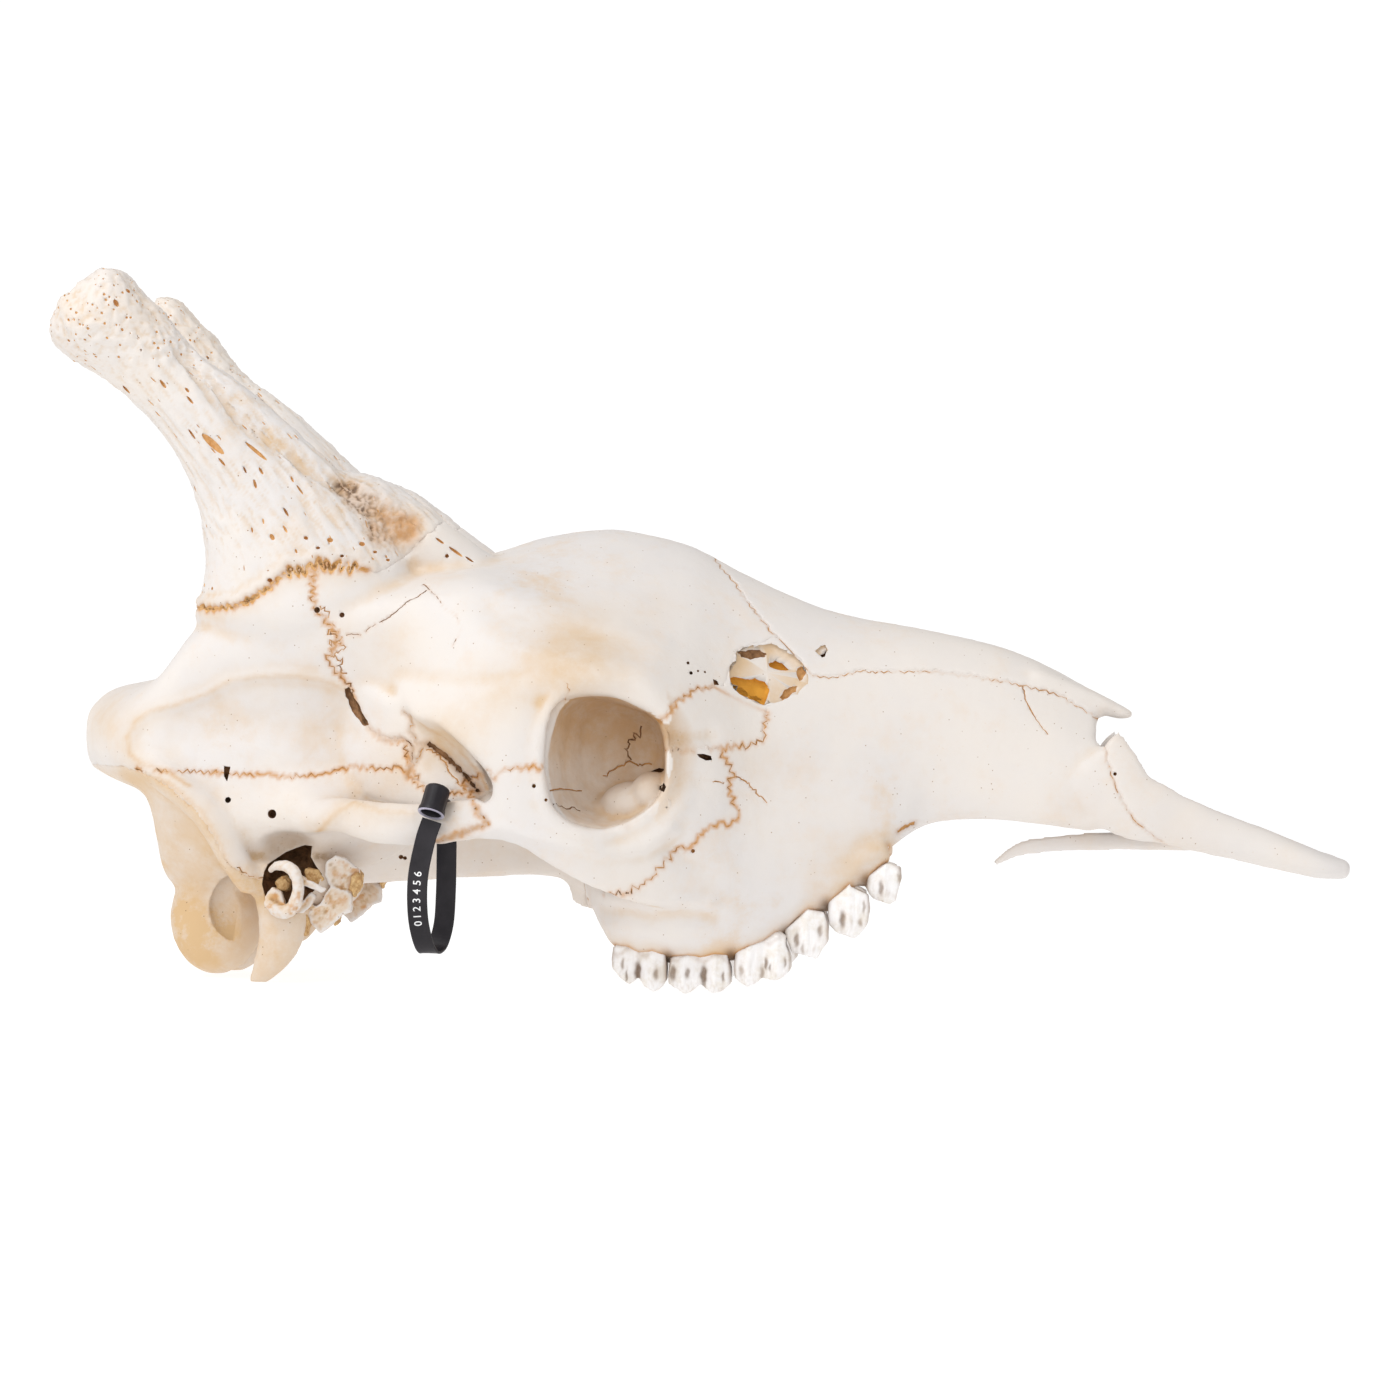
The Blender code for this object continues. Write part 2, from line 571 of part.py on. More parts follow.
def bone_masses(collection):
    """Every mass of bone, right side first, with its mirror image."""
    skull_core(collection)
    paired = [
        orbit_ring(collection),
        ossicone(collection),
        bar("arch", ARCH, collection),
        bar("orbit_bar", ORBIT_BAR, collection),
        bar("buttress", BUTTRESS, collection),
        bar("brow", BROW, collection),
        bar("nuchal_rim", NUCHAL_RIM, collection),
        bar("premaxilla", PREMAXILLA, collection),
        bar("nasal_tip", NASAL_TIP, collection),
        bar("tooth_socket", TOOTH_SOCKET, collection),
        ellipsoid("bulla", EAR_BULLA_CENTRE, EAR_BULLA_RADII, collection),
        bar("ear_curl", [(x, y, z, r, r) for x, y, z, r in EAR_CURL], collection),
        plate("pterygoid", PTERYGOID[:3], *PTERYGOID[3:], PTERYGOID_THICKNESS, 0.0, collection),
    ]
    for k, (x, y, z, length, height, turn) in enumerate(EAR_PLATES):
        paired.append(plate(f"ear_plate_{k}", (x, y, z), length, height, 4.5, turn, collection))
    for obj in paired:
        mirrored(obj, collection)
    x, y, z = CONDYLE_CENTRE
    back, out, down = LEFT_CONDYLE_SHIFT
    ellipsoid("condyle_right", (x, y, z), CONDYLE_RADII, collection)
    ellipsoid("condyle_left", (x + back, -y + out, z + down), CONDYLE_RADII, collection)
    bar("process_right", PROCESS_BESIDE_CONDYLE, collection)
    bar("process_left", WORN_PROCESS, collection)


def hollows(collection):
    """Openings of the skull, right side first, with their mirror images."""
    cx, cy, cz = ORBIT_CENTRE
    x, y, z, half_length, half_height = FACE_GAP
    paired = [
        ellipsoid("orbit_cup", (cx, -cy, cz), ORBIT_CUP, collection, ORBIT_TURN),
        ellipsoid("ear_hollow", EAR_HOLLOW_CENTRE, EAR_HOLLOW_RADII, collection),
        ellipsoid("face_gap", (x, y, z), (half_length, FACE_GAP_DEPTH, half_height), collection),
    ]
    outer, inner = TEMPORAL_SLOT_ENDS
    paired.append(prism("temporal_slot", TEMPORAL_SLOT, -outer, -inner, collection))
    for obj in paired:
        mirrored(obj, collection)
    passage("nasal_passage", NASAL_PASSAGE, collection)
    passage("choana", CHOANA, collection)
    stations = [(-290, FORAMEN_RADIUS + 2), (-262, FORAMEN_RADIUS), (-215, FORAMEN_RADIUS - 3)]
    passage(
        "foramen",
        [(x, r, FORAMEN_HEIGHT - r, FORAMEN_HEIGHT + r) for x, r in stations],
        collection,
    )


def whole_skull(collection, cutters):
    """Union of the masses, evened out, hollowed and thinned to the triangles it may have."""
    bone_masses(cutters)
    masses = list(cutters.objects)
    base = masses[0]
    skull = base.copy()
    skull.data = base.data.copy()
    skull.name = "skull"
    bpy.data.objects.remove(base, do_unlink=True)
    collection.objects.link(skull)
    boolean(skull, "UNION", cutters)
    remove_objects(cutters)
    hollows(cutters)
    for cutter in list(cutters.objects):
        boolean(skull, "DIFFERENCE", cutter)
    remove_objects(cutters)
    even = skull.modifiers.new("even", "REMESH")
    even.mode = "VOXEL"
    even.voxel_size = MM * VOXEL
    soft = skull.modifiers.new("soft", "SMOOTH")
    soft.factor = 0.5
    soft.iterations = SMOOTH_ROUNDS
    apply_modifiers(skull)
    keep_largest(skull)
    thin = skull.modifiers.new("thin", "DECIMATE")
    thin.ratio = BONE_TRIANGLES / len(skull.data.polygons)
    apply_modifiers(skull)
    keep_largest(skull)
    return skull


def widened(outline, amount):
    """The outline moved outwards by an amount, with mitred corners."""
    area = sum(
        a[0] * b[1] - b[0] * a[1] for a, b in zip(outline, outline[1:] + outline[:1])
    )
    sign = 1 if area > 0 else -1
    result = []
    for k, corner in enumerate(outline):
        here = Vector(corner)
        back = (here - Vector(outline[k - 1])).normalized()
        ahead = (Vector(outline[(k + 1) % len(outline)]) - here).normalized()
        normal_back = Vector((back.y, -back.x)) * sign
        normal_ahead = Vector((ahead.y, -ahead.x)) * sign
        mitre = (normal_back + normal_ahead).normalized()
        reach = amount / max(mitre.dot(normal_back), 0.4)
        result.append(tuple(here + mitre * reach))
    return result


def prism(name, outline, y_low, y_high, collection):
    count = len(outline)
    verts = [(x, y_low, z) for x, z in outline] + [(x, y_high, z) for x, z in outline]
    faces = [tuple(range(count)), tuple(range(2 * count - 1, count - 1, -1))]
    for k in range(count):
        n = (k + 1) % count
        faces.append((k, n, count + n, count + k))
    return add_mesh(name, verts, faces, collection)


def part_bones(skull, collection, cutters):
    """Takes each bone in turn from the skull with its outline, leaving the seam's width."""
    bones = {}
    for name, paired, near, far, outline in BONES:
        sides = [(name, -far, far)]
        if paired:
            near = max(near, SEAM / 2)
            sides = [(name + "_right", -far, -near), (name + "_left", near, far)]
        for bone_name, y_low, y_high in sides:
            bone = skull.copy()
            bone.data = skull.data.copy()
            bone.name = bone_name
            collection.objects.link(bone)
            boolean(bone, "INTERSECT", prism("region", outline, y_low, y_high, cutters))
            keep_largest(bone)
            remove_objects(cutters)
            wide = widened(outline, SEAM)
            low = y_low - (SEAM if y_low > 0 else 0)
            high = y_high + (SEAM if y_high < 0 else 0)
            boolean(skull, "DIFFERENCE", prism("rest", wide, low, high, cutters))
            remove_objects(cutters)
            bones[bone_name] = bone
    bpy.data.objects.remove(skull, do_unlink=True)
    return bones


def tooth(x, length, low, gum, y, lobes, width, collection):
    """Cheek tooth: ribbed lobes in a row, each with a pointed cusp on its outer side."""
    lobe_length = length / lobes
    for k in range(lobes):
        middle = x + lobe_length * (k - (lobes - 1) / 2)
        top = gum + ROOT_DEPTH
        levels = [
            (top, 0.42, 0.38), (gum, 0.50, 0.46), ((gum + low) / 2, 0.56, 0.50),
            (low + CUSP_RISE, 0.50, 0.42),
        ]
        rings = []
        for z, along, across in levels:
            ring = []
            for n in range(8):
                a = 2 * math.pi * (n + 0.5) / 8
                ring.append((
                    middle + lobe_length * along * 1.08 * math.cos(a),
                    y + width * across * 1.05 * math.sin(a),
                    z,
                ))
            rings.append(ring)
        cusp = []
        for px, py, _ in rings[-1]:
            inner = py > y
            cusp.append((
                middle + (px - middle) * 0.35,
                y + (py - y) * (0.55 if inner else 0.8),
                low + (CUSP_RISE * 0.5 if inner else 0.0),
            ))
        rings.append(cusp)
        loft(f"lobe_{x}_{k}", rings, collection)


def fuse_teeth(maxilla, side, cutters):
    """Joins the six cheek teeth of one side to their maxilla, roots sunk in."""
    for k, (x, length, low, gum, y) in enumerate(TEETH):
        molar = k < MOLARS
        tooth(
            x, length, low, gum, side * -y, 2 if molar else 1,
            MOLAR_WIDTH if molar else PREMOLAR_WIDTH, cutters,
        )
    boolean(maxilla, "UNION", cutters)
    remove_objects(cutters)
    keep_largest(maxilla)


def level_feet(bones, cutters):
    """Cuts what touches the floor to flats at one level."""
    for bone in bones.values():
        boolean(bone, "DIFFERENCE", box("floor", (-400, -200, -60), (400, 200, 0), cutters))
        remove_objects(cutters)
        keep_largest(bone)


def top_of(bone, x, y):
    """Height of a bone's upper surface at x and y, in millimetres."""
    down = Vector((0, 0, -1))
    hit, place, _, _ = bone.ray_cast(Vector((MM * x, MM * y, 1.0)), down)
    return place.z / MM if hit else 0.0


def ribbon(name, route, width, thickness, collection, steps=3):
    """Flat strap along a route, its width along the skull."""
    count = (len(route) - 1) * steps
    path = [Vector(catmull(route, (len(route) - 1) * k / count)) for k in range(count + 1)]
    rings = []
    for k, point in enumerate(path):
        ahead = (path[min(k + 1, count)] - path[max(k - 1, 0)]).normalized()
        across = Vector((1, 0, 0)) - ahead * ahead.x
        across.normalize()
        normal = ahead.cross(across)
        half, depth = across * width / 2, normal * thickness / 2
        rings.append([
            tuple(point - half - depth), tuple(point + half - depth),
            tuple(point + half + depth), tuple(point - half + depth),
        ])
    return loft(name, rings, collection)


def loop_tag(arch_bone, collection):
    """Strap that hangs over the cheek arch, and the barrel lock that holds its two ends."""
    rest_x, rest_y, rest_z = STRAP_ROUTE[-2]
    reach = STRAP_WIDTH / 2
    tops = [
        top_of(arch_bone, rest_x + dx, rest_y + dy)
        for dx in (-reach, 0, reach) for dy in (-reach, 0, reach)
    ]
    lift = max(tops) + 2 * SEAM + STRAP_THICKNESS / 2 - rest_z
    route = [(x, y, z + lift) for x, y, z in STRAP_ROUTE]
    strap = ribbon("tag_strap", route, STRAP_WIDTH, STRAP_THICKNESS, collection)
    mesh = bpy.data.meshes.new("tag_lock")
    bm = bmesh.new()
    bmesh.ops.create_cone(
        bm, cap_ends=True, segments=20, radius1=MM * LOCK_RADIUS, radius2=MM * LOCK_RADIUS,
        depth=MM * LOCK_LENGTH,
    )
    bm.transform(Matrix.Translation([MM * c for c in LOCK_CENTRE[:2]] + [MM * (LOCK_CENTRE[2] + lift)]))
    bm.to_mesh(mesh)
    bm.free()
    lock = bpy.data.objects.new("tag_lock", mesh)
    collection.objects.link(lock)
    return {"tag_strap": strap, "tag_lock": lock}


def finish(obj, name):
    kind = name.replace("_right", "").replace("_left", "")
    material = bpy.data.materials.get(kind)
    if material is None:
        material = bpy.data.materials.new(kind)
        material.use_nodes = True
        shader = material.node_tree.nodes["Principled BSDF"]
        shader.inputs["Base Color"].default_value = (*COLOURS[kind], 1.0)
        shader.inputs["Roughness"].default_value = 0.35 if kind.startswith("tag") else 0.6
    obj.data.materials.clear()
    obj.data.materials.append(material)
    obj.data.transform(Matrix.Translation((MM * FORWARD_SHIFT, 0, 0)))
    obj.data.shade_smooth()
    obj.data.set_sharp_from_angle(angle=math.radians(40))


def main():
    clear_scene()
    skull_parts = make_collection(SKULL)
    cutters = make_collection("cutters")
    cutters.hide_render = True
    skull = whole_skull(skull_parts, cutters)
    bones = part_bones(skull, skull_parts, cutters)
    for side, label in ((-1, "_right"), (1, "_left")):
        fuse_teeth(bones["maxilla" + label], side, cutters)
        blade = bar("palate_blade", PALATE_BLADE, cutters)
        if side > 0:
            mirrored(blade, cutters)
            bpy.data.objects.remove(blade, do_unlink=True)
        boolean(bones["premaxilla" + label], "UNION", cutters)
        remove_objects(cutters)
        keep_largest(bones["premaxilla" + label])
    level_feet(bones, cutters)
    bones.update(loop_tag(bones["temporal_right"], skull_parts))
    for name, bone in bones.items():
        finish(bone, name)


main()
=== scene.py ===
# Giraffe skull without its lower jaw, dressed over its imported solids.
# Lengths are in millimetres from the middle of the floor, +X to the muzzle; the animal's right side is at -Y.
import json
import math
import random
import time

import bmesh
import bpy
import numpy as np
from mathutils import Matrix, Vector, noise
from mathutils.bvhtree import BVHTree

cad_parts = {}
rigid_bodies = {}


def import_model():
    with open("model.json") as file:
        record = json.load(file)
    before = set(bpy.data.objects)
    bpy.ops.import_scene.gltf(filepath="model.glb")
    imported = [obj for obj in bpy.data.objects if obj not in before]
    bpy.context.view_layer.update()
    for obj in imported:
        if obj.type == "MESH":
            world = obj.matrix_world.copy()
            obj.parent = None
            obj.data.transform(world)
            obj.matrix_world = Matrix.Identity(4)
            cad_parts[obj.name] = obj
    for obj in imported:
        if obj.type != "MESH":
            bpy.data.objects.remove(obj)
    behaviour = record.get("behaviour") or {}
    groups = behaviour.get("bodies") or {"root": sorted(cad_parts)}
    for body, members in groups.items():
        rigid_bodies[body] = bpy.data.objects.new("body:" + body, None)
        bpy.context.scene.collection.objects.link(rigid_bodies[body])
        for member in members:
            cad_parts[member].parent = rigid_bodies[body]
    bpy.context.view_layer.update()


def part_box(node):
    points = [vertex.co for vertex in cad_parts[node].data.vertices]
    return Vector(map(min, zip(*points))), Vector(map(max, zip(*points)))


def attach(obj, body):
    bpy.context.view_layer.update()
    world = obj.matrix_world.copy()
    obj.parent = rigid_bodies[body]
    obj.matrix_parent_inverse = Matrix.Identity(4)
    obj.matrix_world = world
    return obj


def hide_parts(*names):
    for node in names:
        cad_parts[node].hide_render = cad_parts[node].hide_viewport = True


began = time.time()
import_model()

mm = 0.001
forwardShift = -2.46
coarser = 1.6

workshop = bpy.data.collections.new("workshop")
bpy.context.scene.collection.children.link(workshop)


# Small helpers

def toWorld(p):
    return (p[0] + forwardShift) * mm, p[1] * mm, p[2] * mm


def editMesh(mesh, work, fresh=False):
    # one job on the mesh's editable copy, which is then written back
    bm = bmesh.new()
    if not fresh:
        bm.from_mesh(mesh)
    work(bm)
    bm.to_mesh(mesh)
    bm.free()


def linkMesh(name, mesh, material=None):
    if material:
        mesh.materials.append(material)
    obj = bpy.data.objects.new(name, mesh)
    workshop.objects.link(obj)
    return obj


def newObject(name, verts, faces, material=None):
    mesh = bpy.data.meshes.new(name)
    mesh.from_pydata([toWorld(p) for p in verts], [], faces)
    editMesh(mesh, lambda bm: bmesh.ops.recalc_face_normals(bm, faces=bm.faces))
    return linkMesh(name, mesh, material)


def duplicate(obj, name, home=workshop):
    copy = obj.copy()
    copy.data = obj.data.copy()
    copy.name = name
    home.objects.link(copy)
    return copy


def giveOnly(obj, material):
    obj.data.materials.clear()
    obj.data.materials.append(material)


def bakeModifiers(obj):
    graph = bpy.context.evaluated_depsgraph_get()
    graph.update()
    mesh = bpy.data.meshes.new_from_object(obj.evaluated_get(graph))
    before = obj.data
    obj.modifiers.clear()
    obj.data = mesh
    if before.users == 0:
        bpy.data.meshes.remove(before)


def discard(*objs):
    for obj in objs:
        data = obj.data
        bpy.data.objects.remove(obj, do_unlink=True)
        if isinstance(data, bpy.types.Mesh) and data.users == 0:
            bpy.data.meshes.remove(data)


def combine(obj, operation, other, giveMaterial=False):
    # with one object, or with a list of them at once
    step = obj.modifiers.new(operation, "BOOLEAN")
    step.operation = operation
    step.solver = "MANIFOLD"
    group = bpy.data.collections.new("others")
    if isinstance(other, list):
        bpy.context.scene.collection.children.link(group)
        for each in other:
            group.objects.link(each)
        step.operand_type = "COLLECTION"
        step.collection = group
    else:
        step.object = other
    if giveMaterial:
        step.material_mode = "TRANSFER"
    bakeModifiers(obj)
    bpy.data.collections.remove(group)


def addSmoothing(obj, rounds):
    soft = obj.modifiers.new("soft", "SMOOTH")
    soft.factor = 0.5
    soft.iterations = rounds


def evenOut(obj, cell, rounds):
    remesh = obj.modifiers.new("even", "REMESH")
    remesh.mode = "VOXEL"
    remesh.voxel_size = cell * mm
    addSmoothing(obj, rounds)
    bakeModifiers(obj)


def shellLabels(count, edges):
    label = np.arange(count)
    while True:
        low = np.minimum(label[edges[:, 0]], label[edges[:, 1]])
        fresh = label.copy()
        np.minimum.at(fresh, edges[:, 0], low)
        np.minimum.at(fresh, edges[:, 1], low)
        fresh = fresh[fresh]
        if (fresh == label).all():
            return label
        label = fresh


def keepMain(obj):
    # drops loose scraps and sealed hollows
    mesh = obj.data
    label = shellLabels(len(mesh.vertices), readRows(mesh.edges, "vertices", 2, np.int32))
    names, sizes = np.unique(label, return_counts=True)
    lost = np.nonzero(label != names[np.argmax(sizes)])[0]

    def dropLost(bm):
        bm.verts.ensure_lookup_table()
        bmesh.ops.delete(bm, geom=[bm.verts[i] for i in lost], context="VERTS")

    if len(lost):
        editMesh(mesh, dropLost)


def readRows(items, key, width=3, kind=np.float32):
    flat = np.empty(len(items) * width, kind)
    items.foreach_get(key, flat)
    return flat.reshape(-1, width)


def readPoints(mesh):
    return readRows(mesh.vertices, "co").astype(np.float64)


def readNormals(mesh):
    return readRows(mesh.vertex_normals, "vector").astype(np.float64)


def writePoints(mesh, points):
    points[:, 2] = np.maximum(points[:, 2], 0.0)  # what touches the floor rests flat on it
    mesh.vertices.foreach_set("co", points.astype(np.float32).ravel())
    mesh.update()


def falloff(distance, width):
    return np.exp(-(distance / width) ** 2)


def setAttribute(mesh, name, values, kind="FLOAT"):
    attribute = mesh.attributes.get(name) or mesh.attributes.new(name, kind, "POINT")
    key = "vector" if kind == "FLOAT_VECTOR" else "value"
    attribute.data.foreach_set(key, np.asarray(values, np.float32).ravel())


def toRaw(points):
    return points / mm - np.array([forwardShift, 0.0, 0.0])


def along(stations, t):
    # point on a smooth curve through the stations, t from 0 to their number less one
    i = min(int(t), len(stations) - 2)
    f = t - i
    b, c = stations[i], stations[i + 1]
    a = stations[i - 1] if i else b
    d = stations[i + 2] if i + 2 < len(stations) else c
    return tuple(
        0.5 * (2 * q + (r - p) * f + (2 * p - 5 * q + 4 * r - s) * f * f + (3 * q - p - 3 * r + s) * f**3)
        for p, q, r, s in zip(a, b, c, d)
    )


def loft(name, rings, material=None):
    count = len(rings[0])
    verts = [p for ring in rings for p in ring]
    faces = []
    for r in range(len(rings) - 1):
        for k in range(count):
            n = (k + 1) % count
            faces.append((r * count + k, r * count + n, (r + 1) * count + n, (r + 1) * count + k))
    for r in (0, len(rings) - 1):
        verts.append(tuple(sum(p[i] for p in rings[r]) / count for i in range(3)))
        for k in range(count):
            faces.append((r * count + k, r * count + (k + 1) % count, len(verts) - 1))
    return newObject(name, verts, faces, material)


def ovalRing(centre, first, second, halfFirst, halfSecond, points):
    ring = []
    for k in range(points):
        a = 2 * math.pi * k / points
        ring.append(tuple(
            centre[i] + first[i] * halfFirst * math.cos(a) + second[i] * halfSecond * math.sin(a)
            for i in range(3)
        ))
    return ring


def bentBar(name, stations, steps=6, points=28, material=None):
    # x, y, z, half-thickness, half-height
    count = (len(stations) - 1) * steps
    path = [along(stations, (len(stations) - 1) * k / count) for k in range(count + 1)]
    rings = []
    for k, station in enumerate(path):
        ahead = Vector(path[min(k + 1, count)][:3]) - Vector(path[max(k - 1, 0)][:3])
        ahead.normalize()
        side = Vector((0, 1, 0)) - ahead * ahead.y
        if side.length < 0.3:
            side = Vector((1, 0, 0)) - ahead * ahead.x
        side.normalize()
        rings.append(ovalRing(station[:3], ahead.cross(side), side, station[4], station[3], points))
    return loft(name, rings, material)


def roundBody(name, centre, radii, segments=48, rings=28, material=None):
    def fill(bm):
        bmesh.ops.create_uvsphere(bm, u_segments=segments, v_segments=rings, radius=1.0)
        bm.transform(Matrix.Diagonal((*(mm * r for r in radii), 1.0)))
        bm.transform(Matrix.Translation(toWorld(centre)))

    mesh = bpy.data.meshes.new(name)
    editMesh(mesh, fill, fresh=True)
    return linkMesh(name, mesh, material)


def mirrorCopy(obj, name=None):
    copy = duplicate(obj, name or obj.name + "Left", obj.users_collection[0])
    copy.data.transform(Matrix.Scale(-1, 4, (0, 1, 0)))
    copy.data.flip_normals()
    return copy


def sidePrism(name, outline, low, high, material=None):
    count = len(outline)
    verts = [(x, low, z) for x, z in outline] + [(x, high, z) for x, z in outline]
    faces = [tuple(range(count)), tuple(range(2 * count - 1, count - 1, -1))]
    for k in range(count):
        n = (k + 1) % count
        faces.append((k, n, count + n, count + k))
    return newObject(name, verts, faces, material)


def surfaceTree(*objs):
    # for looking up points on the objects, in the script's own millimetres
    verts, faces = [], []
    for obj in objs:
        start = len(verts)
        verts += [Vector(p) for p in toRaw(readPoints(obj.data))]
        faces += [tuple(v + start for v in face.vertices) for face in obj.data.polygons]
    return BVHTree.FromPolygons(verts, faces)


def showPiece(piece, slotName, *nodes):
    workshop.objects.unlink(piece)
    bpy.context.scene.collection.objects.link(piece)
    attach(piece, "root")
    if nodes:
        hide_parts(*nodes)


# Camera, as the photo was taken; features are placed by its pixels

cameraSettings = {
    "distance": 2200.0, "mmPerPixel": 0.52, "towardsMuzzle": math.radians(3.5),
    "roll": math.radians(1.48), "height": 149.4, "imageSide": 1400,
}


def cameraAxes():
    c, s = math.cos(cameraSettings["towardsMuzzle"]), math.sin(cameraSettings["towardsMuzzle"])
    level, up = Vector((c, s, 0)), Vector((0, 0, 1))
    cr, sr = math.cos(cameraSettings["roll"]), math.sin(cameraSettings["roll"])
    right = level * cr + up * sr
    top = up * cr - level * sr
    back = Vector((s, -c, 0))
    place = back * cameraSettings["distance"] + Vector((0, 0, cameraSettings["height"]))
    return right, top, back, place


def pixelRay(u, v):
    right, top, back, place = cameraAxes()
    focal = cameraSettings["distance"] / cameraSettings["mmPerPixel"]
    half = cameraSettings["imageSide"] / 2
    ray = right * (u - half) + top * (half - v) - back * focal
    return place, ray.normalized()


def atPlane(u, v, y):
    start, ray = pixelRay(u, v)
    spot = start + ray * ((y - start.y) / ray.y)
    return spot.x, spot.z


def makeCamera():
    right, top, back, place = cameraAxes()
    data = bpy.data.cameras.new("photoCamera")
    data.sensor_width = 36.0
    data.lens = 36.0 * cameraSettings["distance"] / cameraSettings["mmPerPixel"] / cameraSettings["imageSide"]
    data.clip_start = 0.05
    data.clip_end = 60.0
    camera = bpy.data.objects.new("photoCamera", data)
    camera.matrix_world = Matrix.Translation(toWorld(place)) @ Matrix((right, top, back)).transposed().to_4x4()
    bpy.context.scene.collection.objects.link(camera)
    bpy.context.scene.camera = camera


makeCamera()


# Materials

def newMaterial(name):
    material = bpy.data.materials.new(name)
    material.use_nodes = True
    tree = material.node_tree
    return material, tree, tree.nodes["Principled BSDF"], addNode(tree, "ShaderNodeTexCoord").outputs["Object"]


def feed(tree, node, inputs):
    # inputs by name or number, each a plain value or the socket that feeds it
    for key, value in inputs.items():
        socket = node.inputs[key]
        if isinstance(value, bpy.types.NodeSocket):
            tree.links.new(value, socket)
        else:
            socket.default_value = (*value, 1.0) if socket.type == "RGBA" else value
    return node


def addNode(tree, kind, inputs=None, **values):
    node = tree.nodes.new(kind)
    for key, value in values.items():
        setattr(node, key, value)
    return feed(tree, node, inputs or {})


def painted(tree, name):
    return addNode(tree, "ShaderNodeAttribute", attribute_name=name).outputs["Fac"]


def noiseField(tree, where, scale, detailLevel, rough):
    inputs = {"Vector": where, "Scale": scale, "Detail": detailLevel, "Roughness": rough}
    return addNode(tree, "ShaderNodeTexNoise", inputs).outputs["Fac"]


def remap(tree, value, low, high, outLow=0.0, outHigh=1.0):
    inputs = {"Value": value, "From Min": low, "From Max": high, "To Min": outLow, "To Max": outHigh}
    return addNode(tree, "ShaderNodeMapRange", inputs, clamp=True, interpolation_type="SMOOTHSTEP").outputs["Result"]


def arithmetic(tree, operation, first, second, **values):
    return addNode(tree, "ShaderNodeMath", {0: first, 1: second}, operation=operation, **values).outputs[0]


def times(tree, first, second):
    return arithmetic(tree, "MULTIPLY", first, second)


def blendColour(tree, factor, under, over):
    inputs = {"Factor": factor, 6: under, 7: over}
    return addNode(tree, "ShaderNodeMix", inputs, data_type="RGBA", blend_type="MIX").outputs[2]


def surfaceBump(tree, height, strength, distance):
    inputs = {"Strength": strength, "Distance": distance, "Height": height}
    return addNode(tree, "ShaderNodeBump", inputs).outputs["Normal"]


boneFinish = {
    "pale": (0.760, 0.705, 0.655), "cool": (0.700, 0.672, 0.665), "tan": (0.640, 0.440, 0.240),
    "peach": (0.745, 0.625, 0.520), "rust": (0.560, 0.270, 0.085), "deep": (0.085, 0.038, 0.016),
    "pore": (0.300, 0.170, 0.080), "poreScale": 330.0, "stainScale": 9.0, "mottleScale": 38.0,
    "grainScale": 520.0, "roughness": 0.56,
}


def boneMaterial(name, tanAmount=1.0, grain=1.0):
    material, tree, shader, where = newMaterial(name)
    look = boneFinish
    large = noiseField(tree, where, look["stainScale"], 5.0, 0.62)
    mottle = noiseField(tree, where, look["mottleScale"], 6.0, 0.7)
    fine = noiseField(tree, where, look["grainScale"], 3.0, 0.6)
    colour = blendColour(tree, remap(tree, large, 0.35, 0.65, 0.0, 0.75), look["pale"], look["cool"])
    colour = blendColour(tree, remap(tree, mottle, 0.48, 0.72, 0.0, 0.45), colour, look["peach"])
    patches = times(tree, remap(tree, large, 0.52, 0.72), remap(tree, mottle, 0.4, 0.7))
    patches = times(tree, patches, 0.55 * tanAmount)
    warmSpots = times(tree, painted(tree, "warm"), remap(tree, mottle, 0.25, 0.62, 0.45, 1.0))
    colour = blendColour(tree, arithmetic(tree, "ADD", patches, warmSpots, use_clamp=True), colour, look["tan"])
    rustSpots = times(tree, painted(tree, "rust"), remap(tree, mottle, 0.36, 0.6, 0.35, 1.0))
    colour = blendColour(tree, rustSpots, colour, look["rust"])
    # painted shade: the shade attribute darkens the bone towards the deep colour in hollows, crevices, the socket's
    # roof and the gaps at the gums
    colour = blendColour(tree, painted(tree, "shade"), colour, look["deep"])
    colour = blendColour(tree, remap(tree, fine, 0.66, 0.78, 0.0, 0.25 * grain), colour, look["tan"])
    cells = addNode(tree, "ShaderNodeTexVoronoi", {"Scale": look["poreScale"], "Vector": where})
    dots = remap(tree, cells.outputs["Distance"], 0.07, 0.14, 1.0, 0.0)
    pores = times(tree, times(tree, dots, remap(tree, cells.outputs["Color"], 0.70, 0.74)), 0.75 * grain)
    height = arithmetic(tree, "ADD", fine, times(tree, mottle, 1.6))
    feed(tree, shader, {
        "Base Color": blendColour(tree, pores, colour, look["pore"]), "Specular IOR Level": 0.35,
        "Roughness": remap(tree, mottle, 0.3, 0.7, look["roughness"] - 0.08, look["roughness"] + 0.1),
        "Normal": surfaceBump(tree, height, 0.16 * grain, 0.0006),
    })
    return material


def plainStain(name, light, dark, scale):
    material, tree, shader, where = newMaterial(name)
    mottle = noiseField(tree, where, scale, 5.0, 0.65)
    feed(tree, shader, {
        "Base Color": blendColour(tree, remap(tree, mottle, 0.3, 0.7), dark, light), "Roughness": 0.75,
        "Specular IOR Level": 0.25, "Normal": surfaceBump(tree, mottle, 0.4, 0.0008),
    })
    return material


enamelFinish = {
    "enamel": (0.900, 0.880, 0.875), "cream": (0.790, 0.735, 0.665), "gum": (0.330, 0.190, 0.085),
    "pit": (0.170, 0.095, 0.045), "roughness": 0.3,
}


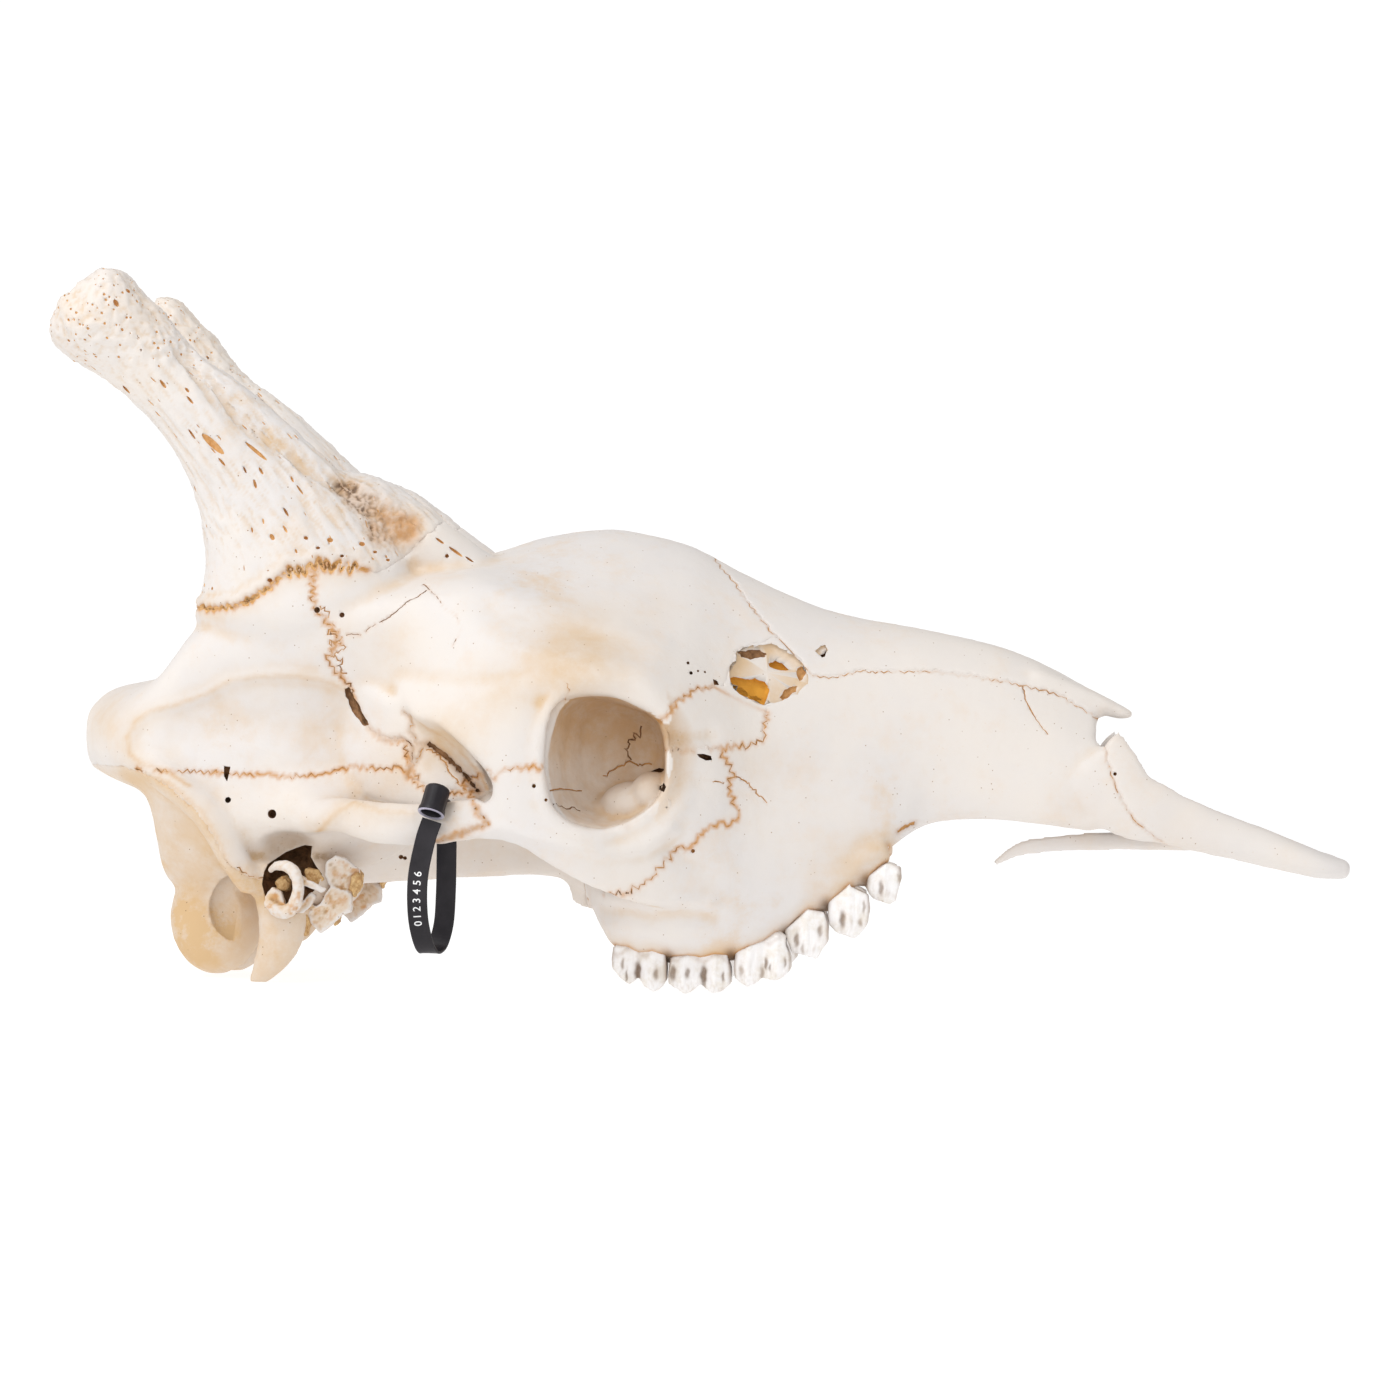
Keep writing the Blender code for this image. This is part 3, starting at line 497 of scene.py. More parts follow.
def enamelMaterial():
    material, tree, shader, where = newMaterial("enamel")
    look = enamelFinish
    mottle = noiseField(tree, where, 120.0, 5.0, 0.65)
    fine = noiseField(tree, where, 700.0, 3.0, 0.6)
    colour = blendColour(tree, remap(tree, mottle, 0.4, 0.7), look["enamel"], look["cream"])
    stain = times(tree, painted(tree, "rust"), remap(tree, mottle, 0.25, 0.6, 0.55, 1.0))
    # the shade attribute paints shade in the gaps between the teeth and also darkens the pits and valleys
    pits = times(tree, painted(tree, "shade"), remap(tree, fine, 0.2, 0.5, 0.7, 1.0))
    feed(tree, shader, {
        "Base Color": blendColour(tree, pits, blendColour(tree, stain, colour, look["gum"]), look["pit"]),
        "Roughness": look["roughness"], "Coat Weight": 0.15, "Coat Roughness": 0.2,
        "Normal": surfaceBump(tree, fine, 0.12, 0.0004),
    })
    return material


paleBone = boneMaterial("paleBone")
hornBone = boneMaterial("hornBone", 1.8, 1.6)
baseBone = boneMaterial("baseBone", 1.5, 1.3)
suturePaint = plainStain("sutureBrown", (0.600, 0.330, 0.130), (0.370, 0.170, 0.055), 300.0)
# dark brown on the walls of cracks and holes: partly their brown stain, partly painted shade inside them
crackStainAndShadePaint = plainStain("crackBrown", (0.340, 0.175, 0.080), (0.130, 0.062, 0.026), 260.0)
slitPaint = plainStain("slitOchre", (0.800, 0.520, 0.250), (0.600, 0.320, 0.110), 280.0)
# painted light: the amber glow of thin bone with light shining through it from behind
backlitAmberPaint = plainStain("amberHollow", (0.720, 0.350, 0.045), (0.500, 0.210, 0.020), 60.0)
# painted shade: near black walls inside deep holes, where no light reaches
holeShadePaint = plainStain("darkHollow", (0.150, 0.085, 0.045), (0.035, 0.020, 0.012), 90.0)
spongePaint = plainStain("spongyBone", (0.740, 0.520, 0.260), (0.420, 0.220, 0.080), 420.0)
enamel = enamelMaterial()
print("materials ready", round(time.time() - began, 1))


def cloudTexture(name, size, depthLevel):
    texture = bpy.data.textures.new(name, "CLOUDS")
    texture.noise_scale = size * mm
    texture.noise_depth = depthLevel
    texture.noise_basis = "ORIGINAL_PERLIN"
    return texture


slowWaves = cloudTexture("slowWaves", 26, 2)
smallWaves = cloudTexture("smallWaves", 5, 3)
crumbs = cloudTexture("crumbs", 2.4, 2)


def roughen(obj, *layers):
    for texture, strength in layers:
        step = obj.modifiers.new("uneven", "DISPLACE")
        step.texture = texture
        step.texture_coords = "LOCAL"
        step.strength = strength * mm
        step.mid_level = 0.5
    bakeModifiers(obj)


# Main body of the skull, on side-view rails: x, half-width, height

skullForm = {  # rails from the top of the ring to its bottom
    "roof": [
        (-319, 0, 138), (-309, 0, 147), (-290, 0, 152), (-277, 0, 156), (-262, 0, 175), (-240, 0, 190),
        (-200, 0, 200), (-150, 0, 213), (-106, 0, 224), (-83, 0, 232), (-52, 0, 237), (-33, 0, 235.5),
        (-6, 0, 229), (21, 0, 216), (39, 0, 208), (69, 0, 197), (111, 0, 190), (155, 0, 181),
        (181, 0, 171), (205, 0, 159),
    ],
    "shoulder": [
        (-319, 10, 136), (-309, 20, 142), (-296, 30, 147), (-277, 38, 154), (-255, 44, 181),
        (-200, 50, 196), (-150, 48, 209), (-106, 40, 217), (-52, 38, 222), (-6, 35, 214), (21, 30, 203),
        (50, 24, 193), (80, 20, 187), (120, 17, 183), (160, 14, 176), (205, 12, 157),
    ],
    "browRidge": [
        (-319, 15, 131), (-309, 34, 134), (-296, 50, 138), (-277, 58, 148), (-252, 64, 172),
        (-220, 73, 178), (-185, 79, 184), (-150, 82, 192), (-113, 84, 201), (-82, 86, 195),
        (-36, 88, 181), (-6, 76, 176), (20, 57, 172), (50, 45, 170), (84, 37, 168), (120, 31, 167),
        (157, 26, 162), (187, 20, 155), (205, 16, 149),
    ],
    "orbitRoof": [
        (-319, 16, 125), (-309, 41, 126), (-296, 59, 127), (-277, 64, 131), (-248, 62, 135),
        (-205, 64, 139), (-175, 66, 144), (-150, 77, 150), (-125, 95, 156), (-100, 106, 161),
        (-57, 113, 160), (-25, 110, 157), (-8, 101, 150), (10, 87, 142), (30, 69, 138), (57, 57, 138),
        (84, 48, 138), (121, 39, 139), (157, 34, 137), (187, 31, 133), (205, 30, 129),
    ],
    "sideWall": [
        (-319, 15, 118), (-309, 39, 115), (-296, 58, 112), (-277, 67, 112), (-248, 67, 112),
        (-205, 65, 110), (-175, 62, 112), (-150, 67, 117), (-125, 78, 121), (-100, 86, 124),
        (-57, 70, 128), (-32, 74, 128), (-16, 96, 118), (0, 97, 112), (12, 88, 110), (30, 72, 109),
        (57, 60, 109), (84, 51, 112), (121, 40, 117), (157, 36, 117), (187, 35, 115), (205, 34, 112),
    ],
    "cheek": [
        (-319, 11, 112), (-309, 29, 107), (-296, 44, 102), (-277, 62, 97), (-258, 70, 92), (-239, 72, 80),
        (-215, 74, 80), (-190, 78, 86), (-165, 66, 88), (-140, 42, 86), (-85, 32, 82), (-57, 42, 74),
        (-34, 78, 66), (-10, 90, 66), (10, 86, 62), (30, 77, 60), (57, 66, 67), (84, 55, 80),
        (105, 46, 91), (121, 39, 99), (157, 36, 102), (187, 35, 100), (205, 34, 96),
    ],
    "lowerEdge": [
        (-319, 5, 108), (-309, 15, 103), (-296, 27, 99), (-284, 34, 96), (-278, 37, 82), (-274, 38, 60),
        (-265, 38, 49), (-239, 38, 44), (-215, 34, 48), (-165, 24, 52.5), (-110, 18, 56), (-72, 22, 57),
        (-55, 34, 50), (-46, 56, 38), (-36, 67, 26), (-10, 70, 22), (20, 69, 22), (40, 67, 30),
        (60, 62, 45), (84, 55, 62), (104, 43, 79), (121, 36, 89.5), (157, 32, 92), (187, 32, 89),
        (205, 33, 87),
    ],
    "gumEdge": [
        (-319, 3, 107), (-300, 14, 99), (-286, 18, 92), (-279, 20, 76), (-274, 20, 54), (-262, 20, 47),
        (-239, 20, 43), (-190, 14, 49), (-110, 8, 57), (-72, 10, 58), (-55, 22, 52), (-46, 36, 40),
        (-36, 42, 28), (-10, 43, 24), (20, 42, 24), (40, 41, 32), (60, 38, 47), (84, 34, 64),
        (104, 27, 81), (121, 20, 91), (157, 17, 94), (205, 18, 92),
    ],
    "palate": [
        (-319, 0, 107), (-300, 0, 99), (-286, 0, 92), (-280, 0, 74), (-274, 0, 52), (-262, 0, 46),
        (-239, 0, 43), (-190, 0, 49), (-110, 0, 57), (-60, 0, 60), (-30, 0, 52), (20, 0, 50),
        (60, 0, 60), (84, 0, 73), (104, 0, 85), (121, 0, 94), (157, 0, 97), (205, 0, 95),
    ],
    "stationStep": 3.5, "ringPoints": 96,
}


def railAt(rail, x):
    if x <= rail[0][0]:
        return rail[0][1:]
    if x >= rail[-1][0]:
        return rail[-1][1:]
    i = max(k for k in range(len(rail) - 1) if rail[k][0] <= x)
    x0, x1 = rail[i][0], rail[i + 1][0]
    t, step = (x - x0) / (x1 - x0), x1 - x0
    before = rail[i - 1] if i else rail[i]
    after = rail[i + 2] if i + 2 < len(rail) else rail[i + 1]
    result = []
    for axis in (1, 2):
        low, high = rail[i][axis], rail[i + 1][axis]
        slopeLow = (high - before[axis]) / (x1 - before[0])
        slopeHigh = (after[axis] - low) / (after[0] - x0)
        result.append(
            (2 * t**3 - 3 * t**2 + 1) * low + (t**3 - 2 * t**2 + t) * step * slopeLow
            + (3 * t**2 - 2 * t**3) * high + (t**3 - t**2) * step * slopeHigh
        )
    return tuple(result)


def skullBody():
    rails = [rail for rail in skullForm.values() if isinstance(rail, list)]
    first, last = rails[0][0][0], rails[0][-1][0]
    count = round((last - first) / skullForm["stationStep"])
    steps = skullForm["ringPoints"] // 2
    rings = []
    for s in range(count + 1):
        x = first + (last - first) * s / count
        half = [railAt(rail, x) for rail in rails]
        wrapped = [(-half[1][0], half[1][1])] + half + [(-half[-2][0], half[-2][1])]
        side = [along(wrapped, 1 + (len(half) - 1) * k / steps) for k in range(steps + 1)]
        right = [(x, -max(y, 0.0), z) for y, z in side]
        rings.append(right + [(x, -y, z) for _, y, z in right[-2:0:-1]])
    return loft("body", rings)


# Orbit, cheek arch and brow

orbitForm = {
    "centre": (-39, 107.5, 118), "rimRadius": 3.6,
    "turn": math.radians(14),
    "rimPixels": [
        (545, 755), (548, 735), (554, 713), (562, 702), (571, 695.5), (587, 693), (603, 694.5), (624, 701),
        (645, 709), (659, 719), (664, 735), (665.5, 755), (665.5, 771), (664, 787), (657, 800), (647, 810),
        (637, 818), (626, 824), (603, 830), (588, 829), (576, 826), (566, 821), (560, 816), (553, 807),
        (549, 796), (546, 776),
    ],
    "socketFloor": [
        (634, 806, 72, (17, 16, 13)), (652, 793, 78, (11, 14, 11)), (612, 812, 66, (12, 14, 9)),
        (588, 822, 64, (14, 16, 7)),
    ],
    "cheekFill": [(606, 846, 100), (632, 840, 97), (656, 826, 94), (676, 800, 91), (685, 768, 86), (684, 744, 84)],
    "wallSteps": [(0.98, 10), (0.965, 14), (0.945, 18), (0.92, 22), (0.83, 32), (0.63, 41), (0.3, 46)],
    "wallCell": 0.8,
    "shelf": [
        (548, 792, 92), (558, 790, 84), (568, 793, 78), (578, 801, 74), (584, 812, 74), (580, 828, 76),
        (566, 828, 84), (552, 814, 92),
    ],
    "bar": [
        (-112, -80, 168, 7, 40), (-104, -98, 150, 9, 36), (-96, -109, 134, 8, 29),
        (-87, -112, 115, 6.5, 19), (-82, -112, 100, 6.5, 16), (-80, -112, 84, 6.5, 18),
    ],
    "brow": [
        (-98, -100, 146, 10, 12), (-76, -104, 153, 10, 10), (-46, -105, 159, 9, 9), (-24, -99, 156, 8, 8),
    ],
}
archForm = {
    "bar": [
        (-196, -70, 84, 9, 8), (-176, -82, 87, 8, 9), (-152, -96, 84, 6, 11), (-126, -105, 84, 5.5, 11),
        (-100, -110, 88, 5.5, 11), (-78, -112, 87, 6.5, 13), (-56, -110, 76, 7, 14),
        (-36, -102, 67, 7, 15), (-16, -91, 63, 9, 17), (4, -78, 62, 10, 18),
    ],
    "slotPixels": [
        (404, 710), (421, 718), (441, 726), (469, 750), (484, 766), (495, 784), (494, 797), (486, 804),
        (478, 797), (469, 786), (452, 768), (439, 755), (428, 745), (416, 729), (409, 717),
    ],
    "slotDeep": [
        (405, 713), (416, 727), (430, 743), (454, 765), (471, 784), (479, 794), (481, 800), (482, 803),
        (478, 800), (467, 788), (451, 769), (438, 756), (427, 746), (414, 731), (407, 718),
    ],
    "innerPlate": [
        (346, 684, 66), (372, 690, 76), (404, 704, 88), (441, 724, 99), (474, 752, 104), (492, 792, 104),
        (470, 812, 101), (432, 812, 96), (400, 806, 84), (372, 800, 74), (350, 770, 66), (338, 720, 62),
    ],
}


def orbitLoop(scale, depth, shift=(0, 0)):
    # the rim's outline at some depth along the socket's own turned axis
    cx, cy, cz = orbitForm["centre"]
    turn = orbitForm["turn"]
    ring = []
    for u, v in orbitForm["rimPixels"]:
        x, z = atPlane(u, v, -cy)
        dx, dz = (x - cx) * scale + shift[0], (z - cz) * scale + shift[1]
        ring.append((cx + dx, -cy + dx * math.tan(turn) + depth, cz + dz))
    return ring


def orbitRim():
    ring = orbitLoop(1.06, 0)
    count, sides = len(ring), 16
    centre = Vector(orbitForm["centre"]) * Vector((1, -1, 1))
    verts, faces = [], []
    for s in range(4 * count):
        spot = Vector(along(ring + [ring[0]], min(s / 4, count - 0.001)))
        out = (spot - centre).normalized()
        radius = orbitForm["rimRadius"] * (1.0 - 0.35 * max(0.0, out.z - out.x * 0.5))
        for k in range(sides):
            b = 2 * math.pi * k / sides
            verts.append(tuple(spot + out * radius * math.cos(b) + Vector((0, radius * math.sin(b), 0))))
    for s in range(4 * count):
        for k in range(sides):
            n, m = (s + 1) % (4 * count), (k + 1) % sides
            faces.append((s * sides + k, s * sides + m, n * sides + m, n * sides + k))
    return newObject("orbitRim", verts, faces)


def orbitCup():
    rings = [
        orbitLoop(1.0, -16), orbitLoop(0.99, -2), orbitLoop(0.95, 8), orbitLoop(0.92, 20, (1, 1)),
        orbitLoop(0.82, 32, (2, 2)), orbitLoop(0.62, 41, (3, 3)), orbitLoop(0.3, 46, (3, 3)),
    ]
    return loft("orbitCup", rings)


# Ossicones: x, y, z of the middle, half-size along the skull and across

ossiconeForm = {
    "stations": [
        (-196, -38, 160, 46, 30), (-199, -45, 184, 58, 36), (-201, -50, 207, 53.5, 31),
        (-210, -54, 230, 44, 27), (-226, -59, 257, 33, 23), (-247, -65, 284, 25, 21),
        (-268, -70, 303, 21, 20), (-286, -74, 320, 22, 22), (-300, -77, 333, 27, 24),
        (-307, -78, 343, 29, 22), (-312, -79, 351, 26, 15),
    ],
    "knobPixels": [
        (52.5, 305), (55, 294), (62, 285), (78, 278), (94, 273), (111, 270.5), (123, 272), (135, 286), (149, 304),
        (200, 318), (600, 440), (600, 760), (40, 760), (20, 420), (54, 326),
    ],
    "leanStep": 0.17, "mostLean": 0.75,
    "buttress": [
        (-240, -58, 275, 13, 10), (-208, -51, 255.5, 16, 12), (-170, -43, 243.5, 17, 16),
        (-138, -35, 223, 17, 16), (-108, -26, 204.5, 16, 14),
    ],
}


def ossiconeBody():
    stations = ossiconeForm["stations"]
    count = (len(stations) - 1) * 6
    rings = []
    for k in range(count + 1):
        t = (len(stations) - 1) * k / count
        x, y, z, lengthways, across = along(stations, t)
        lean = min(max(t - 1, 0) * ossiconeForm["leanStep"], ossiconeForm["mostLean"])
        axis = (math.cos(lean), 0, math.sin(lean))
        rings.append(ovalRing((x, y, z), axis, (0, 1, 0), lengthways, across, 56))
    horn = loft("ossicone", rings)
    knob = sidePrism("knob", [atPlane(u, v, -76) for u, v in ossiconeForm["knobPixels"]], -130, -10)
    combine(horn, "INTERSECT", knob)
    discard(knob)
    return horn


# Back of the skull and ear

backForm = {
    "condyle": (-245, -30, 31), "condyleRadii": (24.5, 16, 29.5), "leftShift": (-4, 0, -3.4),
    "foramenRadius": 15.5, "foramenHeight": 52,
    "facetPixel": (232, 909), "facetSize": (28, 34), "facetDepth": 42.4,
    "process": [
        (-212, -56, 62, 10, 15), (-207, -57, 40, 8, 14), (-207, -57, 24, 7, 12),
        (-212, -56, 12, 5.5, 9.5), (-219, -55, 1.5, 3.6, 5), (-222, -55, -2, 2.5, 3),
    ],
    "wornProcess": [
        (-214, 56, 62, 10, 15), (-212, 57, 42, 8, 13), (-214, 57, 27, 7, 10), (-219, 56, 16, 5, 7),
    ],
    "nuchalRim": [
        (-312, 0, 128, 8, 12), (-303, -34, 126, 8, 13), (-282, -59, 114, 7, 9),
        (-262, -71, 100, 6, 8), (-243, -74, 84, 6, 8), (-231, -70, 64, 6, 8), (-221, -62, 48, 6, 7),
    ],
}
earForm = {
    "hollow": (-203, -74, 68), "hollowRadii": (17, 22, 10),
    "bulla": (-196, -47, 50), "bullaRadii": (17, 15, 17),
    "curl": [
        (270, 871, 66, 1.2), (276, 866, 69, 2.2), (286, 866, 71, 2.9), (294, 872, 72, 3.1), (298, 884, 72, 3.0),
        (297, 897, 71, 3.2), (293, 907, 70, 3.4), (283, 912, 69, 3.6), (273, 908, 68, 3.0), (267, 901, 66, 2.2),
    ],
    "plates": [
        [(264, 897, 67), (272, 887, 68), (281, 892, 68), (285, 905, 68), (276, 912, 68), (267, 907, 67)],
        [(290, 914, 64), (297, 897, 65), (300, 905, 66), (305, 898, 66), (311, 892, 65), (316, 896, 64),
         (311, 906, 64), (303, 913, 64)],
        [(300, 874, 70), (305, 879, 70), (313, 882, 69), (326, 889, 67), (322, 893, 67), (312, 889, 68),
         (304, 886, 69)],
        [(326, 862, 60), (335, 855, 62), (346, 859, 60), (361, 870, 56), (358, 881, 55), (352, 892, 56),
         (342, 888, 58), (333, 886, 60), (328, 884, 60), (324, 874, 60)],
        [(306, 914, 58), (314, 907, 60), (320, 904, 62), (326, 892, 63), (331, 886, 62), (341, 889, 60),
         (351, 893, 58), (352, 905, 58), (351, 912, 58), (341, 916, 58), (331, 926, 57), (320, 934, 56),
         (311, 924, 56)],
    ],
    "crumbs": [
        [(300, 913, 60), (306, 913, 60), (309, 924, 59), (307, 935, 58), (303, 937, 58), (300, 925, 59)],
        [(351, 876, 58), (357, 871, 58), (362, 876, 57), (360, 887, 57), (354, 897, 57), (350, 890, 58)],
        [(275, 880, 63), (284, 876, 63), (289, 884, 63), (286, 892, 63), (277, 890, 63)],
        [(304, 868, 61), (318, 870, 60), (325, 880, 59), (318, 886, 60), (306, 882, 61)],
    ],
    "depth": 5.0, "cell": 0.5,
}


def thinPlate(name, centre, halfLength, halfHeight, thickness, turn):
    rings = []
    for k in range(15):
        s = 2 * k / 14 - 1
        size = halfHeight * math.sqrt(max(1 - 0.8 * s * s, 0.05))
        lengthways = (math.cos(turn), math.sin(turn), 0)
        middle = [centre[i] + lengthways[i] * halfLength * s for i in range(3)]
        through = (-lengthways[1], lengthways[0], 0)
        rings.append(ovalRing(middle, (0, 0, 1), through, size, thickness / 2, 28))
    return loft(name, rings)


# Muzzle, palate and nose

muzzleForm = {  # bars as x, y, z, half-thickness, half-height
    "premaxilla": [
        (200, -31, 121, 5, 25), (209, -31.5, 113.5, 5, 23), (218, -31.5, 105.5, 5, 19.5),
        (226, -31, 100.5, 5, 18), (236, -30.5, 97.5, 5, 16.5), (247, -29.5, 94, 5, 14),
        (260, -29, 90, 6, 12.5), (276, -28.5, 85.5, 7, 10.8), (292, -28, 81.3, 8.5, 9.8),
        (308, -28, 76.8, 10, 8.2), (322, -28, 73, 10, 6.6), (335, -27.5, 71.5, 6.5, 4.5),
    ],
    "blade": [
        (256, -27, 85, 5, 6), (244, -20, 83.5, 4, 5), (228, -11, 82.5, 2.6, 4.5),
        (206, -6, 81.5, 1.8, 4.6), (184, -4.5, 79.5, 1.5, 4.2), (168, -4.5, 76.5, 1.4, 3.6),
        (155, -4.5, 69, 1.0, 1.6),
    ],
    "nasalTip": [
        (172, -11, 166, 11, 6), (188, -9.5, 160.5, 9.5, 5.5), (205, -8, 153.5, 8, 5),
        (218, -6.5, 148.3, 6.5, 3.6), (227, -5.5, 145, 4.5, 2.4),
    ],
    "passage": [
        (70, 22, 104, 158), (100, 28, 102, 168), (140, 27, 104, 164), (180, 26, 102, 144),
        (202, 24, 100, 134), (214, 26, 92, 144), (244, 26, 78, 150), (262, 25, 70, 150),
    ],
    "choana": [(-112, 9, 46, 62), (-80, 12, 40, 76), (-50, 14, 40, 80), (-22, 13, 44, 80)],
    "frontSocket": [(826, 884, 50), (845, 869, 48), (862, 859, 46), (880, 846, 44)],
    "gumTips": [(669, 956, 56), (732, 954, 57), (788, 931, 54), (827, 904, 50), (867, 880, 46)],
    "toothSocket": [
        (56, -54.5, 47, 9.5, 8), (72, -51.5, 57, 9.5, 8), (88, -48, 70, 9, 8), (99, -45.5, 77, 8, 8),
    ],
    "pterygoid": (-52, -22, 52), "pterygoidHalf": (12, 14), "pterygoidThickness": 5,
}


def roundedTube(name, stations):
    # x, half-width, floor, roof
    rings = []
    for k in range((len(stations) - 1) * 5 + 1):
        x, half, floor, roof = along(stations, k / 5)
        ring = []
        for n in range(40):
            a = 2 * math.pi * n / 40
            y = math.copysign(abs(math.cos(a)) ** 0.6, math.cos(a)) * half
            z = math.copysign(abs(math.sin(a)) ** 0.7, math.sin(a)) * (roof - floor) / 2
            ring.append((x, y, (roof + floor) / 2 + z))
        rings.append(ring)
    return loft(name, rings)


def pixelSolid(name, pixels, near, deep, material=None):
    # block between two depths at one side, whose outline in the photo is given by pixels, some with own depths
    depths = [-near if len(p) < 3 else -p[2] for p in pixels]
    outline = [atPlane(p[0], p[1], y) for p, y in zip(pixels, depths)]
    verts = [(x, y, z) for (x, z), y in zip(outline, depths)] + [(x, -deep, z) for x, z in outline]
    count = len(pixels)
    verts += [tuple(sum(v[i] for v in verts[s:s + count]) / count for i in range(3)) for s in (0, count)]
    faces = []
    for k in range(count):
        n = (k + 1) % count
        faces += [(k, n, count + n, count + k), (n, k, 2 * count), (count + k, count + n, 2 * count + 1)]
    return newObject(name, verts, faces, material)


def slotCutter():
    # wide mouth that narrows inwards to its lower edge, so that the upper wall shows
    rings = []
    for y, outline in ((-132, archForm["slotPixels"]), (-104, archForm["slotPixels"]), (-88, archForm["slotDeep"])):
        rings.append([(x, y, z) for x, z in (atPlane(u, v, max(y, -108)) for u, v in outline)])
    return loft("slot", rings)


def earBones():
    # curled ring, broken plates and crumbs of spongy bone round the ear hollow
    plain = [bentBar("curl", [(*reach(u, v, y), r, r) for u, v, y, r in earForm["curl"]])]
    plain += [pixelSolid("plate", outline, 60, outline[0][2] - earForm["depth"]) for outline in earForm["plates"]]
    spongy = [pixelSolid("crumb", outline, 60, outline[0][2] - 12) for outline in earForm["crumbs"]]
    for name, parts, uneven, material in (
        ("earPlatesRight", plain, 1.0, baseBone), ("earCrumbsRight", spongy, 2.2, spongePaint),
    ):
        combine(parts[0], "UNION", parts[1:])
        discard(*parts[1:])
        parts[0].name = name
        evenOut(parts[0], earForm["cell"] * coarser, 1)
        roughen(parts[0], (crumbs, uneven), (smallWaves, uneven))
        giveOnly(parts[0], material)
    return plain[0], spongy[0]


def reach(u, v, y):
    x, z = atPlane(u, v, -y)
    return x, -y, z


def wholeSkull():
    paired = [
        orbitRim(),
        ossiconeBody(),
        bentBar("arch", archForm["bar"]),
        bentBar("orbitBar", orbitForm["bar"]),
        bentBar("brow", orbitForm["brow"]),
        bentBar("cheekFill", [(*reach(u, v, y), 9, 9) for u, v, y in orbitForm["cheekFill"]]),
        bentBar("buttress", ossiconeForm["buttress"]),
        bentBar("nuchalRim", backForm["nuchalRim"]),
        bentBar("premaxilla", muzzleForm["premaxilla"]),
        bentBar("nasalTip", muzzleForm["nasalTip"]),
        bentBar("toothSocket", muzzleForm["toothSocket"]),
        bentBar("frontSocket", [(*reach(u, v, y), 8, 8) for u, v, y in muzzleForm["frontSocket"]]),
        pixelSolid("innerPlate", archForm["innerPlate"], 90, 40),
        *[roundBody("gumTip", reach(u, v, y - 2), (4, 9, 4.5)) for u, v, y in muzzleForm["gumTips"]],
        roundBody("bulla", earForm["bulla"], earForm["bullaRadii"]),
        thinPlate("pterygoid", muzzleForm["pterygoid"], *muzzleForm["pterygoidHalf"],
                  muzzleForm["pterygoidThickness"], 0.0),
    ]
    masses = paired + [mirrorCopy(obj) for obj in paired]
    x, y, z = backForm["condyle"]
    dx, dy, dz = backForm["leftShift"]
    masses.append(roundBody("condyle", (x, y, z), backForm["condyleRadii"]))
    masses.append(roundBody("condyleLeft", (x + dx, -y + dy, z + dz), backForm["condyleRadii"]))
    masses.append(bentBar("process", backForm["process"]))
    masses.append(bentBar("wornProcess", backForm["wornProcess"]))
    skull = skullBody()
    combine(skull, "UNION", masses)
    discard(*masses)

    cuts = [
        orbitCup(),
        roundBody("earHollow", earForm["hollow"], earForm["hollowRadii"]),
        slotCutter(),
    ]
    cuts += [mirrorCopy(obj) for obj in cuts]
    cuts.append(roundedTube("passage", muzzleForm["passage"]))
    cuts.append(roundedTube("choana", muzzleForm["choana"]))
    height, radius = backForm["foramenHeight"], backForm["foramenRadius"]
    cuts.append(roundedTube("foramen", [
        (at, r, height - r, height + r) for at, r in ((-290, radius + 2), (-262, radius), (-215, radius - 3))
    ]))
    for cut in cuts:
        combine(skull, "DIFFERENCE", cut)
        discard(cut)
    evenOut(skull, 1.5 * coarser, 5)
    keepMain(skull)
    return skull


skull = wholeSkull()
print("whole form ready:", len(skull.data.polygons), "faces")


# Cheek teeth, from the photo's pixels of their crowns on the near side

